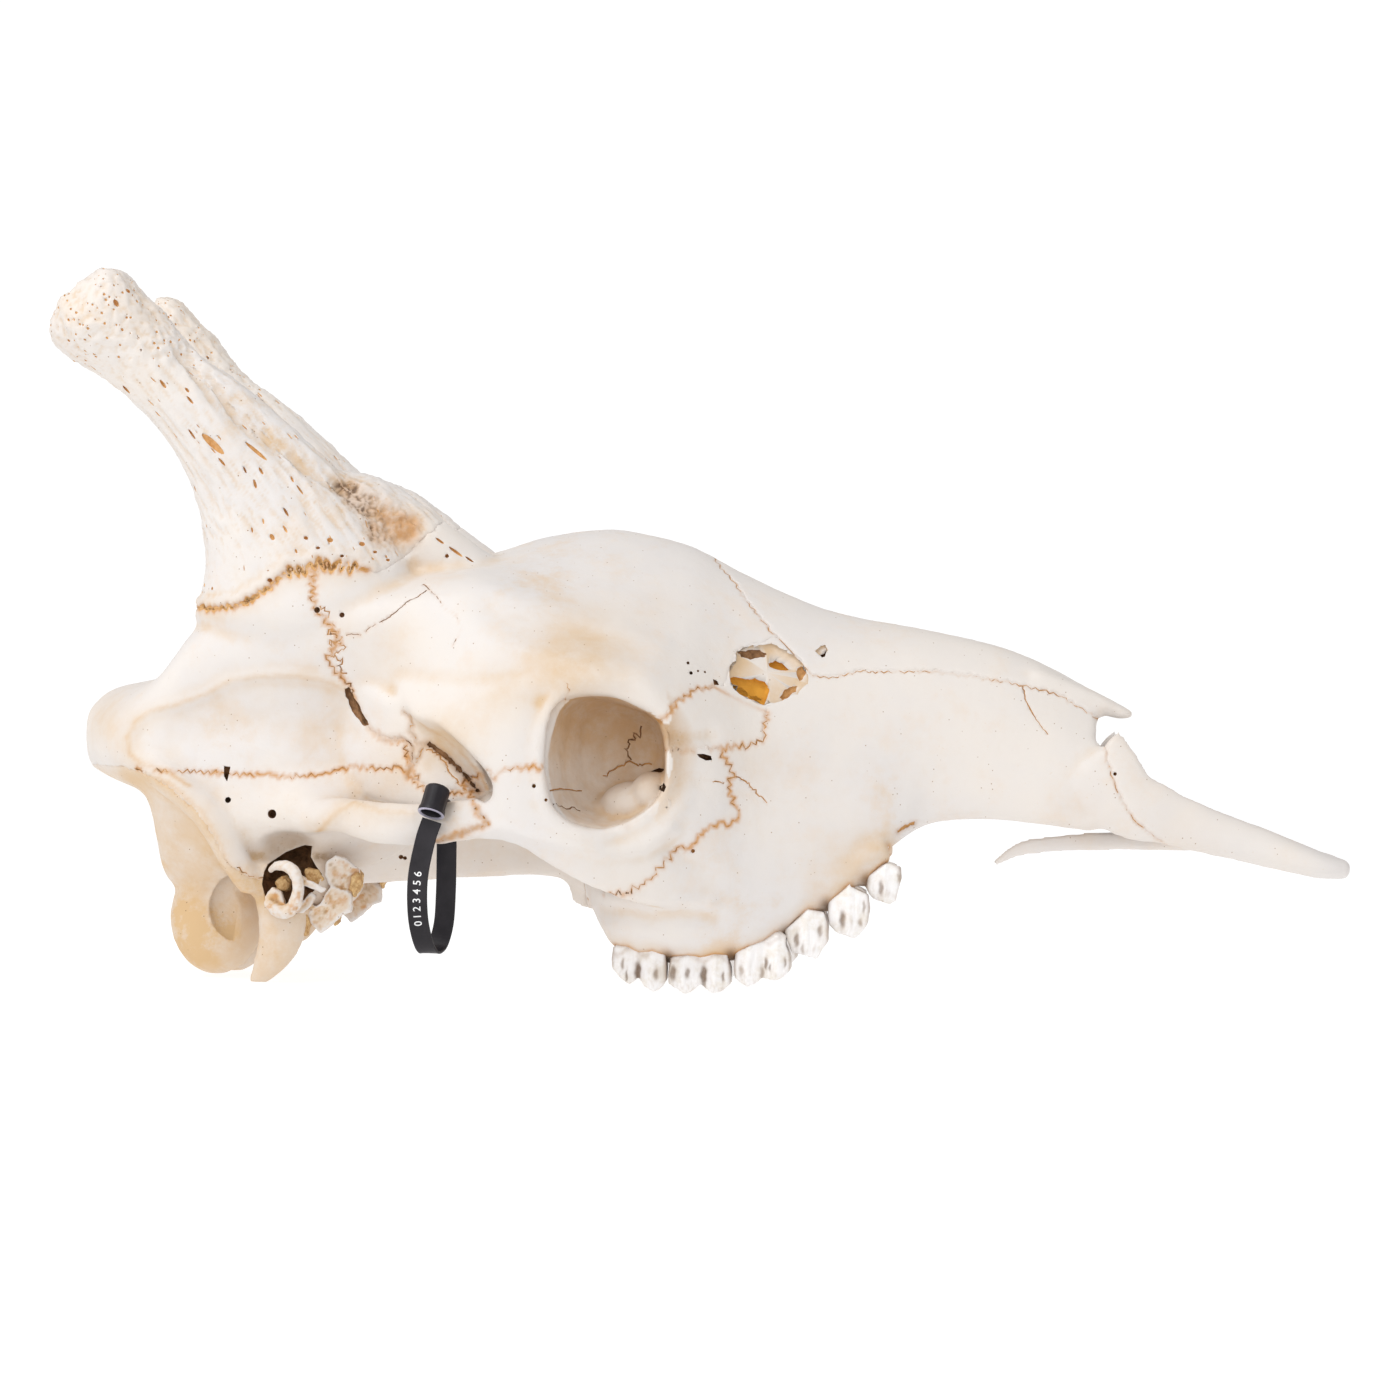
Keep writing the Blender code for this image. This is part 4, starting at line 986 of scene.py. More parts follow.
toothFace = 70.0
toothPlans = {
    "thirdMolar": {
        "crown": [
            (610.5, 947), (610, 958), (611, 968), (621, 979), (629, 985), (634, 981), (638, 977), (643, 986),
            (653, 993), (661, 988), (666, 980), (667, 966), (666, 955),
        ],
        "y": 58.5, "width": 24, "lobes": 2,
        "pits": [
            (637.5, 972, 2.2, 8.5, 1.0), (622.5, 964, 1.0, 4.5, 0.55), (626.5, 976, 0.7, 5.0, 0.6),
            (656, 974, 1.6, 4.5, 0.55),
        ],
    },
    "secondMolar": {
        "crown": [
            (668, 958), (667.5, 972), (668, 984), (685, 995), (694, 990), (700, 984), (706, 990),
            (713, 994), (722, 991), (730.5, 984), (731.5, 970), (729, 957), (707, 954),
        ],
        "y": 59, "width": 24, "lobes": 2,
        "pits": [
            (672.5, 973, 2.3, 6.5, 0.75), (687.5, 973, 1.6, 4.0, 0.7), (703.5, 975, 2.4, 8.0, 1.0),
            (723, 977, 0.9, 4.0, 0.75), (704, 985, 1.5, 4.0, 0.6),
        ],
    },
    "firstMolar": {
        "crown": [
            (734, 952), (733, 967), (734.5, 979), (747, 988), (757, 983), (761, 978), (768, 980), (775, 981),
            (783, 978), (790.5, 970), (791.5, 958), (786, 945), (779, 936),
        ],
        "y": 58, "width": 24, "lobes": 2,
        "pits": [
            (766, 964, 1.2, 5.0, 0.75), (770, 968, 0.7, 3.0, 0.6), (785, 963, 0.9, 4.0, 0.6),
            (762, 974, 1.5, 6.0, 0.4), (741, 971, 1.8, 5.0, 0.3),
        ],
    },
    "fourthPremolar": {
        "crown": [
            (783, 931), (787, 943), (791, 953), (800, 955.5), (809, 958), (816, 961), (821, 952), (828, 942),
            (828.5, 928), (824, 913), (816.5, 904), (806, 910), (796, 917),
        ],
        "y": 54.5, "width": 20, "lobes": 1,
        "pits": [
            (796, 941, 1.8, 6.0, 0.7), (819.5, 932, 1.7, 5.0, 0.55), (802, 950, 1.2, 4.0, 0.35),
        ],
    },
    "thirdPremolar": {
        "crown": [
            (826, 903), (827, 916), (829, 927), (837, 935), (846, 937), (853, 941), (861, 934), (867, 926),
            (870, 910), (868, 896), (859, 881), (851, 888), (843, 895),
        ],
        "y": 50.5, "width": 20, "lobes": 1,
        "pits": [
            (842, 921, 2.0, 7.0, 0.75), (863.5, 908, 1.0, 5.0, 0.45), (860, 924, 1.6, 3.0, 0.35),
        ],
    },
    "secondPremolar": {
        "crown": [
            (866, 878), (865, 890), (870, 898), (875, 902), (883, 904), (888, 907), (895, 903), (898, 890),
            (901.5, 880), (901, 869), (895, 860), (886, 864), (873, 872),
        ],
        "y": 45.5, "width": 17, "lobes": 1,
        "pits": [
            (880.5, 890, 1.7, 6.0, 0.7), (898.5, 879, 1.0, 4.0, 0.45),
        ],
    },
}
toothFinish = {
    "rootDepth": 6.0, "cell": 0.5, "valleyDepth": 2.6, "tipTaper": 0.34, "gumStain": 1.7,
    "farShift": {1: (3.2, 2.2), 2: (1.2, 0.8)},  # by lobes: the far row sits a little further back and lower
}


def plannedTooth(name, spec):
    outline = [atPlane(u, v, -toothFace) for u, v in spec["crown"]]
    xs, zs = [p[0] for p in outline], [p[1] for p in outline]
    left, right, low, gum = min(xs), max(xs), min(zs), max(zs)
    lobes, half, y = spec["lobes"], spec["width"] / 2, -spec["y"]
    first = outline[0]
    last = max(outline, key=lambda p: p[1])
    top = gum + toothFinish["rootDepth"]
    side = [(first[0] + 1.5, top)] + outline[:-1] + [(right - 1.5, top)]
    if lobes == 1:
        keep = [p for p in outline if p[1] < gum - 1.5 or p == first]
        side = [(first[0] + 1.0, top)] + keep + [(right - 5.5, top)]
    tooth = sidePrism(name, side, y - 30, y + 30, enamel)
    steps = 16 * lobes
    outer, inner = [], []
    for k in range(steps + 1):
        f = (k / steps * lobes) % 1.0
        bulge = math.sin(math.pi * f)
        rib = 0.9 * math.exp(-((f - 0.5) / 0.09) ** 2) + 1.0 * math.exp(-(min(f, 1 - f) / 0.09) ** 2)
        x = left + (right - left) * k / steps
        outer.append((x, y - half * (0.66 + 0.30 * bulge ** 0.6) - rib))
        inner.append((x, y + half * (0.42 + 0.56 * bulge ** 0.6)))
    ring = outer + inner[::-1]
    column = loft(name + "Column", [[(x, py, z) for x, py in ring] for z in (low - 3, (low + top) / 2, top + 3)])
    combine(tooth, "INTERSECT", column)
    discard(column)
    evenOut(tooth, toothFinish["cell"] * coarser, 4)
    keepMain(tooth)
    shapeTooth(tooth, spec, first, last, left, right, low, gum)
    return tooth


def shapeTooth(tooth, spec, first, last, left, right, low, gum):
    mesh = tooth.data
    points, normals = toRaw(readPoints(mesh)), readNormals(mesh)
    x, y, z = points.T
    half, mid, lobes = spec["width"] / 2, -spec["y"], spec["lobes"]
    t = np.clip((gum - z) / (gum - low), 0, 1)
    belly = 1 - 0.13 * (1 - t) ** 2 - toothFinish["tipTaper"] * np.clip((t - 0.62) / 0.38, 0, 1) ** 1.5
    slope = (last[1] - first[1]) / (last[0] - first[0]) if last[0] - first[0] > 3 else 0.0
    above = np.clip((z - first[1] - np.clip(x - first[0], 0, last[0] - first[0]) * slope) / 2.5, 0, 1)
    points[:, 1] = mid + (y - mid) * belly * (1 - 0.5 * above)
    points[:, 0] += ((left + right) / 2 - x) * (0.30 * above + 0.07 * (1 - t) ** 2)
    f = ((x - left) / (right - left) * lobes) % 1.0
    crescent = np.cos(np.pi * (f - 0.5))
    under = np.clip(-normals[:, 2], 0, 1) * np.clip((t - 0.45) / 0.2, 0, 1)
    dark = np.zeros(len(points))
    for offset, lean in ((-0.30, 0.22), (0.30, 0.26)):
        ridge = mid + half * (offset + lean * (1 - crescent))
        valley = np.exp(-((points[:, 1] - ridge) / 1.5) ** 2) * under
        points[:, 2] += toothFinish["valleyDepth"] * valley
        dark = np.maximum(dark, 0.8 * valley)
    buccal = np.clip(-normals[:, 1] * 1.4, 0, 1)
    rust = np.zeros(len(points))
    for u, v, wide, tall, amount in spec["pits"]:
        px, pz = atPlane(u, v, -toothFace)
        reach = ((x - px + 0.2 * np.sin(z * 1.3)) / (wide * 0.6)) ** 2 + ((z - pz) / (tall * 0.55)) ** 2
        pit = np.clip(1.4 * np.exp(-reach ** 1.6), 0, 1) * buccal
        points[:, 1] += 1.5 * amount * pit
        dark = np.maximum(dark, 0.85 * amount * pit)
        rust = np.maximum(rust, 0.5 * np.exp(-reach / 2.2) * buccal)
    streak = np.array([noise.noise(Vector((px * 0.7, py * 0.7, pz * 0.14))) for px, py, pz in points])
    points += normals * (0.28 * streak)[:, None]
    dark = np.maximum(dark, np.clip(-streak - 0.2, 0, 1) * 0.22 * np.clip((t - 0.25) / 0.4, 0, 1))
    rust = np.maximum(rust, np.clip(streak, 0, 1) * 0.5 * np.clip((t - 0.3) / 0.5, 0, 1))
    line = np.exp(-((z - gum + 2.0 + 2.0 * np.sin((x - left) * 0.45)) / toothFinish["gumStain"]) ** 2)
    between = np.exp(-(np.minimum(x - left, right - x) / 1.6) ** 2)
    rust = np.maximum(rust, np.clip(0.35 * line + 0.55 * between, 0, 1))
    # painted shade on the tooth's ends near the gum, where it meets the next tooth
    dark = np.maximum(dark, 0.8 * between * np.clip(1 - t * 1.3, 0, 1))
    writePoints(mesh, (points + np.array([forwardShift, 0, 0])) * mm)
    setAttribute(mesh, "rust", np.clip(rust, 0, 1))
    setAttribute(mesh, "shade", np.clip(dark, 0, 0.92))


def placeTeeth():
    made = []
    for name, spec in toothPlans.items():
        right = plannedTooth(name + "Right", spec)
        left = mirrorCopy(right, name + "Left")
        back, down = toothFinish["farShift"][spec["lobes"]]
        left.data.transform(Matrix.Translation((-back * mm, 0, -down * mm)))
        for tooth, node in ((right, "maxilla_right"), (left, "maxilla_left")):
            tooth.data.shade_smooth()
            showPiece(tooth, "maxilla", node)
            made.append(tooth)
    return made


teeth = placeTeeth()
toothTree = surfaceTree(*teeth[::2])


def gumDistance(points):
    # distance to the closest tooth, looked up only beside the tooth row
    reach = np.full(len(points), 99.0)
    beside = (points[:, 2] < 85) & (points[:, 0] < 125) & (points[:, 0] > -50)
    for i in np.nonzero(beside)[0]:
        found = toothTree.find_nearest(points[i], 8.0)[3]
        if found is not None:
            reach[i] = found
    return reach


print("teeth:", len(teeth), "pieces,", sum(len(t.data.polygons) for t in teeth), "faces")


# Bones, parted along wavy sutures in this order
# outline in side view, nearest and furthest from the mid-plane, wave of the suture, cell of the mesh, stain

bonePieces = {
    "ossicone": {
        "near": 4, "far": 140, "wave": (2.3, 3.6), "cell": 0.85, "stain": 1.0, "material": hornBone,
        "outline": [
            (-262, 188), (-252, 190), (-241, 189), (-230, 191), (-220, 196), (-208, 205.5), (-195, 211),
            (-181, 213), (-170, 211), (-158, 210), (-149, 218), (-142, 226), (-134, 233), (-112, 262),
            (-200, 400), (-400, 400), (-400, 200),
        ],
    },
    "nasal": {
        "near": 0, "far": 60, "wave": (0.9, 4.0), "cell": 0.9, "stain": 0.45, "material": paleBone,
        "outline": [
            (4, 260), (7, 221), (17, 211), (24, 201), (34, 190), (39, 184), (46, 177.5), (53, 171),
            (56, 164.5), (68, 162), (84, 166), (102, 166.6), (121, 167), (142, 165), (157, 163), (167, 161), (177, 159),
            (187, 156), (196, 151), (206, 145), (250, 138), (250, 260),
        ],
    },
    "premaxilla": {
        "near": 0, "far": 60, "wave": (0.7, 5.0), "cell": 0.85, "stain": 0.35, "material": paleBone,
        "outline": [
            (204, 150), (208, 136), (211, 122), (216, 108), (221, 99), (227, 92), (236, 85), (243, 81),
            (246, 60), (360, 50), (360, 150),
        ],
    },
    "jugal": {
        "near": 66, "far": 140, "wave": (1.9, 3.6), "cell": 0.8, "stain": 0.75, "material": paleBone,
        "outline": [
            (-98, 112), (-93, 107.5), (-90, 111.5), (-84, 113.5), (-70, 114), (-50, 121), (-26, 124),
            (-14, 126), (0, 124), (8, 126.5), (16, 125), (23, 113), (20, 106), (24, 97), (26, 92),
            (22, 87), (16, 88.5), (9, 84.5), (6, 80), (3, 75.5), (-4, 75.5), (-10, 68), (-15, 61),
            (-21, 57), (-28, 53), (-41, 52), (-60, 30), (-126, 60), (-129, 74), (-120, 76.5),
            (-114, 78.5), (-103, 83), (-96, 85.5), (-101, 88.5), (-103, 95), (-112, 104),
        ],
    },
    "lacrimal": {
        "near": 47, "far": 140, "wave": (1.95, 3.2), "cell": 0.8, "stain": 0.8, "material": paleBone,
        "outline": [
            (-30, 120), (-29, 126), (-25, 133), (-20, 136), (-10, 140), (-6, 148), (3, 154), (19, 158),
            (30, 152), (41, 149), (38, 146), (37, 142), (37, 131), (30, 127), (15, 125.5), (8, 122),
            (0, 121), (-10, 121),
        ],
    },
    "occipital": {
        "near": None, "far": 140, "wave": (0.8, 4.0), "cell": 0.9, "stain": 0.4, "material": baseBone,
        # tan that is partly the bone's own and partly painted shade on the rear-facing nape
        "warmBase": 0.62,
        "outline": [
            (-340, 108), (-302, 109), (-290, 109), (-274, 105), (-262, 99), (-248, 88), (-239, 76), (-232, 62),
            (-222, 54), (-196, 50), (-188, 36), (-188, -20), (-340, -20),
        ],
    },
    "temporal": {
        "near": 34, "far": 140, "wave": (1.6, 3.5), "cell": 0.8, "stain": 0.6, "material": baseBone,
        "warmBase": 0.08,
        "outline": [
            (-300, 108), (-236, 106), (-216, 106), (-198, 105), (-187, 106.5), (-179, 109), (-171, 111),
            (-162, 111), (-154, 110), (-146, 112), (-130, 100), (-90, 100), (-90, 30), (-300, 30),
        ],
    },
    "frontal": {
        "near": None, "far": 140, "wave": (1.95, 3.4), "cell": 1.15, "stain": 0.75, "material": paleBone,
        "outline": [
            (-192, 240), (-192, 194), (-187, 187), (-183, 183), (-177, 175), (-185, 165), (-178, 156),
            (-173, 151), (-171, 144), (-163, 130), (-154, 125), (-143, 125), (-141, 114), (-131, 101),
            (-104, 100), (-80, 98), (-78, 79), (-8, 79), (-6, 100), (-24, 118),
            (-6, 148), (16, 153), (18.5, 163), (22, 174), (27, 177), (36, 179.5), (42, 182), (70, 260), (-100, 300),
        ],
    },
    "skullBase": {
        "near": None, "far": 140, "wave": (0.8, 5.0), "cell": 1.0, "stain": 0.2, "material": baseBone,
        "warmBase": 0.12,
        "outline": [(-240, 20), (-240, 92), (-150, 106), (-60, 106), (-52, 30), (-100, 20)],
    },
    "maxilla": {
        "near": 0, "far": 140, "wave": (0.6, 5.0), "cell": 0.95, "stain": 0.3, "material": paleBone,
        "outline": [(-70, -20), (-60, 108), (-20, 240), (300, 240), (300, -20)],
    },
    "parietal": {
        "near": None, "far": 140, "wave": (0.6, 5.0), "cell": 1.05, "stain": 0.3, "material": paleBone,
        "outline": [(-360, 60), (-360, 300), (-120, 300), (-120, 60)],
    },
}
seamOverlap = 1.5  # neighbours reach into each other, so that no dark gap shows


def wavyOutline(outline, wave, seed):
    height, length = wave
    dice = random.Random(seed)
    result = []
    for k, corner in enumerate(outline):
        ahead = outline[(k + 1) % len(outline)]
        dx, dz = ahead[0] - corner[0], ahead[1] - corner[1]
        size = math.hypot(dx, dz)
        result.append(corner)
        count = int(size / (length * 0.5)) if size < 70 else 0
        for n in range(1, count):
            t = (n + dice.uniform(-0.25, 0.25)) / count
            offset = height * (1 if n % 2 else -1) * dice.uniform(0.25, 1.0)
            if height > 2:  # long fingers at the middle of the horn's foot, none at its smooth front lobe
                offset *= 1.9 if -214 < corner[0] < -172 else 0.7 if corner[0] < -214 else 0.25
            result.append((corner[0] + dx * t - dz / size * offset, corner[1] + dz * t + dx / size * offset))
    return result


def widened(outline, amount):
    area = sum(a[0] * b[1] - b[0] * a[1] for a, b in zip(outline, outline[1:] + outline[:1]))
    sign = 1 if area > 0 else -1
    result = []
    for k, corner in enumerate(outline):
        here = Vector(corner)
        back = (here - Vector(outline[k - 1])).normalized()
        ahead = (Vector(outline[(k + 1) % len(outline)]) - here).normalized()
        normalBack = Vector((back.y, -back.x)) * sign
        normalAhead = Vector((ahead.y, -ahead.x)) * sign
        mitre = (normalBack + normalAhead)
        mitre = mitre.normalized() if mitre.length > 0.05 else normalBack
        result.append(tuple(here + mitre * (amount / max(mitre.dot(normalBack), 0.5))))
    return result


def partBones(skull):
    found = {}
    for number, (name, spec) in enumerate(bonePieces.items()):
        near, far = spec["near"], spec["far"]
        sides = [(name, -far, far)] if near is None else [(name + "Right", -far, -near), (None, near, far)]
        spec["wavy"] = wavyOutline(spec["outline"], spec["wave"], 10 + number)
        for pieceName, low, high in sides:
            if pieceName:
                bone = duplicate(skull, pieceName)
                region = sidePrism("region", spec["wavy"], low, high)
                combine(bone, "INTERSECT", region)
                discard(region)
                keepMain(bone)
                found[pieceName] = bone
            rest = sidePrism("rest", widened(spec["wavy"], -seamOverlap), low, high)
            combine(skull, "DIFFERENCE", rest)
            discard(rest)
    return found


skullTree = surfaceTree(skull)
bones = partBones(skull)
discard(skull)
print("bones parted:", len(bones), round(time.time() - began, 1))


# Lines on the surface: sutures from the outlines, cracks from the photo's pixels

def insideOutline(outline, x, z):
    # for one point or for arrays of them
    inside = x != x
    for k, (x1, z1) in enumerate(outline):
        x0, z0 = outline[k - 1]
        if z0 != z1:
            inside = inside ^ (((z0 > z) != (z1 > z)) & (x < (x1 - x0) * (z - z0) / (z1 - z0) + x0))
    return inside


lineSteps = {"suture": 0.9, "gap": 6, "insideRim": (36, 39), "rimDepth": 97}


def outlineSteps(outline):
    for corner, ahead in zip(outline, outline[1:] + outline[:1]):
        count = max(1, round(math.hypot(ahead[0] - corner[0], ahead[1] - corner[1]) / lineSteps["suture"]))
        for n in range(count):
            t = n / count
            yield corner[0] + (ahead[0] - corner[0]) * t, corner[1] + (ahead[1] - corner[1]) * t


def sutureRuns():
    # paths where each wavy outline meets the outer surface, on both sides
    runs = []
    names = list(bonePieces)
    cx, _, cz = orbitForm["centre"]
    rimX, rimZ = lineSteps["insideRim"]
    for number, name in enumerate(names):
        spec = bonePieces[name]
        for side in (-1, 1):
            run = []
            for x, z in outlineSteps(spec["wavy"]):
                hit = skullTree.ray_cast(Vector((x, side * 200, z)), Vector((0, -side, 0)))[0]
                real = hit is not None and (spec["near"] or 0) - 1 <= abs(hit.y) <= spec["far"]
                inRim = math.hypot((x - cx) / rimX, (z - cz) / rimZ) < 1
                real = real and not (inRim and abs(hit.y) < lineSteps["rimDepth"])
                real = real and not any(
                    insideOutline(bonePieces[other]["wavy"], x, z)
                    and (bonePieces[other]["near"] or 0) <= abs(hit.y)
                    for other in names[:number]
                )
                if run and (not real or (hit - run[-1]).length > lineSteps["gap"]):
                    runs.append((name, run))
                    run = []
                if real:
                    run.append(hit)
            if run:
                runs.append((name, run))
    return [(name, run) for name, run in runs if len(run) > 5]


crackPaths = {  # a radius of 0 cuts no groove, and a set's tint or relief follows the line
    "fossaEdge": {
        "pixels": [
            (349, 691), (328, 680), (293, 675), (258, 676), (231, 680), (205, 694), (178, 704), (151, 711),
            (135, 723), (128, 737), (131, 754), (140, 763), (154, 769), (167, 771), (191, 787),
        ], "radius": 0, "jitter": 0.3, "set": "nearWarm",
    },
    "napeEdge": {
        "pixels": [(148, 774), (172, 785), (199, 809), (215, 833), (226, 857), (237, 884), (247, 897)],
        "radius": 0, "jitter": 0.3, "set": "nearWarm",
    },
    "archEdge": {
        "pixels": [(318, 832), (328, 822), (339, 812), (355, 804), (381, 812), (416, 814)],
        "radius": 0, "jitter": 0.3, "set": "nearWarm",
    },
    "spongyPatch": {
        "pixels": [(345, 490), (356, 500), (368, 508), (380, 514), (395, 520), (412, 528), (392, 534), (376, 530)],
        "radius": 0, "jitter": 3.0, "set": "nearPatch",
    },
    "hornValley": {
        "pixels": [(186, 356), (212, 386), (240, 414), (270, 440), (300, 462), (326, 478), (345, 488)],
        "radius": 0, "jitter": 0.5, "set": "nearValley",
    },
    "plateCrackHigh": {
        "pixels": [(404, 712), (412, 722), (408, 731), (416, 740), (424, 748), (418, 757), (410, 768), (407, 780)],
        "radius": 0.5, "jitter": 0.8,
    },
    "plateCrackLow": {
        "pixels": [(424, 748), (436, 752), (446, 764), (452, 776), (464, 788), (474, 797)],
        "radius": 0.45, "jitter": 0.9,
    },
    "archEnd": {
        "pixels": [(434, 845), (447, 839), (460, 835), (478, 828), (488, 824), (481, 815), (474, 806)],
        "radius": 0.9, "jitter": 0.3,
    },
    "behindBar": {
        "pixels": [
            (366, 728), (372, 733), (378, 736), (387, 741), (399, 739), (408, 741), (413, 750), (411, 763), (408, 775),
        ],
        "radius": 0.55, "jitter": 0.5, "dark": True,
    },
    # painted shade along the slot's deep lower edge, with some brown
    "slotEdge": {
        "pixels": [(428, 742), (440, 752), (453, 763), (463, 773), (472, 783), (479, 794)],
        "radius": 1.3, "jitter": 0.5, "set": "nearSlot", "dark": True,
    },
    "slotFace": {
        "pixels": [(420, 724), (444, 738), (466, 757), (480, 775), (488, 792)],
        "radius": 0, "jitter": 0.3, "set": "nearWarm",
    },
    "coronalBand": {
        "pixels": [
            (320, 604), (327, 614), (322, 622), (335, 626), (326, 632), (341, 637), (329, 643), (343, 647),
            (333, 654), (344, 660), (338, 668), (346, 678),
        ], "radius": 0.42, "jitter": 1.5,
    },
    "browCrack": {
        "pixels": [(556, 716), (563, 704), (569, 690), (566, 680)], "radius": 0.2, "jitter": 0.5,
    },
    "socketCross": {
        "pixels": [(604, 777), (612, 771), (622, 766), (631, 761), (638, 765), (646, 764), (654, 766)],
        "radius": 0.4, "jitter": 0.7,
    },
    "socketFloorCrack": {
        "pixels": [(553, 804), (560, 805), (566, 808), (574, 808), (582, 811)],
        "radius": 0.35, "jitter": 0.6, "dark": True,
    },
    "fineLong": {
        "pixels": [
            (427, 590), (417, 597), (408, 601), (397, 611), (388, 618), (379, 623), (369, 628), (362, 635),
            (351, 634), (343, 637),
        ],
        "radius": 0.28, "jitter": 0.3, "dark": True,
    },
    "fineFork": {
        "pixels": [
            (423, 584), (436, 595), (444, 608), (455, 614), (461, 629), (452, 647),
        ],
        "radius": 0.28, "jitter": 0.3, "dark": True,
    },
    "nasalBranch": {
        "pixels": [(1023, 686), (1026, 701), (1036, 719), (1049, 736)],
        "radius": 0.3, "jitter": 0.25,
    },
    "underEye": {
        "pixels": [(674, 787), (683, 782), (691, 778), (705, 779), (713, 782), (719, 783), (727, 785)],
        "radius": 0.35, "jitter": 0.8,
    },
    "underEyeTwin": {
        "pixels": [(674, 780), (683, 775), (693, 771), (701, 773), (708, 773)],
        "radius": 0.3, "jitter": 0.8,
    },
    "cheekSpur": {
        "pixels": [(737, 776), (746, 781), (754, 789), (760, 797), (769, 803)],
        "radius": 0.35, "jitter": 0.7,
    },
    "socketSuture": {
        "pixels": [
            (642, 727), (640, 737), (635, 733), (634, 741), (629, 739), (630, 748), (626, 750), (631, 757),
            (630, 763),
        ], "radius": 0.42, "jitter": 0.6, "dark": True,
    },
    "socketShelf": {
        "pixels": [(550, 790), (560, 789), (572, 790), (584, 791)],
        "radius": 0.4, "jitter": 0.3,
    },
    "crestLine": {
        "pixels": [(600, 896), (621, 899), (640, 902), (652, 903.5), (668, 901), (682, 900), (700, 902)],
        "radius": 0.18, "jitter": 0.2,
    },
    "diastemaStain": {
        "pixels": [(898, 832), (904, 828), (910, 825), (917, 823)], "radius": 0.9, "jitter": 0.4,
    },
}


def onSurface(u, v, tree=None):
    place, ray = pixelRay(u, v)
    return (tree or skullTree).ray_cast(place, ray)[0]


def traceCrack(name, spec, tree=None):
    dice = random.Random(name)
    run = []
    for (u0, v0), (u1, v1) in zip(spec["pixels"], spec["pixels"][1:]):
        steps = max(2, int(math.hypot(u1 - u0, v1 - v0) / 2.2))
        for n in range(steps):
            t, shake = n / steps, spec["jitter"] * 2
            hit = onSurface(u0 + (u1 - u0) * t + dice.uniform(-shake, shake),
                            v0 + (v1 - v0) * t + dice.uniform(-shake, shake), tree)
            if hit is not None:
                run.append(hit)
    return run


def crackRuns():
    runs = []
    for name, spec in crackPaths.items():
        run = traceCrack(name, spec)
        mirrored = []
        for point in run:
            hit = skullTree.ray_cast(Vector((point.x + 3, 200, point.z - 2)), Vector((0, -1, 0)))[0]
            if hit is not None:
                mirrored.append(hit)
        runs += [(name, run), (name, mirrored)]
    return runs


def bare(name, p):
    # where no suture shows: the horn's smooth front lobe, the nape, and the recess in the face
    if name == "ossicone" and p.x > -164 or name in ("occipital", "parietal") and p.x < -283:
        return True
    return math.hypot((p.x - 35) / 24, (p.z - 164) / 19.5) < 1 and p.y * p.y > 400


sutures = [(name, [p for p in run if not bare(name, p)]) for name, run in sutureRuns()]
sutures = [(name, run) for name, run in sutures if len(run) > 3]
cracks = crackRuns()
print("surface lines:", len(sutures), "sutures and", len(cracks), "cracks")


# Grooves along those lines, by a geometry tree

def newTree(name, inputs):
    tree = bpy.data.node_groups.new(name, "GeometryNodeTree")
    tree.interface.new_socket("Geometry", in_out="INPUT", socket_type="NodeSocketGeometry")
    for label, kind, value in inputs:
        socket = tree.interface.new_socket(label, in_out="INPUT", socket_type=kind)
        if value is not None:
            socket.default_value = value
    tree.interface.new_socket("Geometry", in_out="OUTPUT", socket_type="NodeSocketGeometry")
    return tree, tree.nodes.new("NodeGroupInput"), tree.nodes.new("NodeGroupOutput")


def addGrowth(obj, tree, values):
    step = obj.modifiers.new(tree.name, "NODES")
    step.node_group = tree
    ids = {item.name: item.identifier for item in tree.interface.items_tree if item.in_out == "INPUT"}
    for label, value in values.items():
        step[ids[label]] = value


def grow(obj, tree, **values):
    # runs a geometry tree on the object and keeps the result as a plain mesh
    addGrowth(obj, tree, values)
    bakeModifiers(obj)
    return obj


def closeTree(tree, given, made, geometry):
    solid = addNode(tree, "GeometryNodeRealizeInstances", {0: geometry})
    paint = {"Geometry": solid.outputs[0], "Material": given["Paint"]}
    feed(tree, made, {0: addNode(tree, "GeometryNodeSetMaterial", paint).outputs[0]})
    return tree


def grooveTree():
    # a tube of uneven thickness along each wire
    tree, given, made = newTree("surfaceGroove", [
        ("Radius", "NodeSocketFloat", 0.0005), ("Uneven", "NodeSocketFloat", 0.5),
        ("Seed", "NodeSocketFloat", 3.0), ("Paint", "NodeSocketMaterial", None),
    ])
    curve = addNode(tree, "GeometryNodeMeshToCurve", {"Mesh": given.outputs["Geometry"]})
    ring = addNode(tree, "GeometryNodeCurvePrimitiveCircle", {"Resolution": 7, "Radius": given.outputs["Radius"]})
    grain = addNode(tree, "ShaderNodeTexNoise", {
        "Vector": addNode(tree, "GeometryNodeInputPosition").outputs[0], "W": given.outputs["Seed"], "Scale": 260.0,
    }, noise_dimensions="4D")
    thin, thick = (arithmetic(tree, way, 1.0, given.outputs["Uneven"]) for way in ("SUBTRACT", "ADD"))
    swell = addNode(tree, "ShaderNodeMapRange", {
        "Value": grain.outputs["Fac"], "From Min": 0.3, "From Max": 0.7, "To Min": thin, "To Max": thick,
    })
    tube = addNode(tree, "GeometryNodeCurveToMesh", {
        "Curve": curve.outputs[0], "Profile Curve": ring.outputs[0], "Scale": swell.outputs["Result"],
        "Fill Caps": True,
    })
    return closeTree(tree, given.outputs, made, tube.outputs[0])


def wireObject(name, runs):
    verts, edges = [], []
    for run in runs:
        start = len(verts)
        verts += [toWorld(p) for p in run]
        edges += [(k, k + 1) for k in range(start, len(verts) - 1)]
    mesh = bpy.data.meshes.new(name)
    mesh.from_pydata(verts, edges, [])
    return linkMesh(name, mesh)


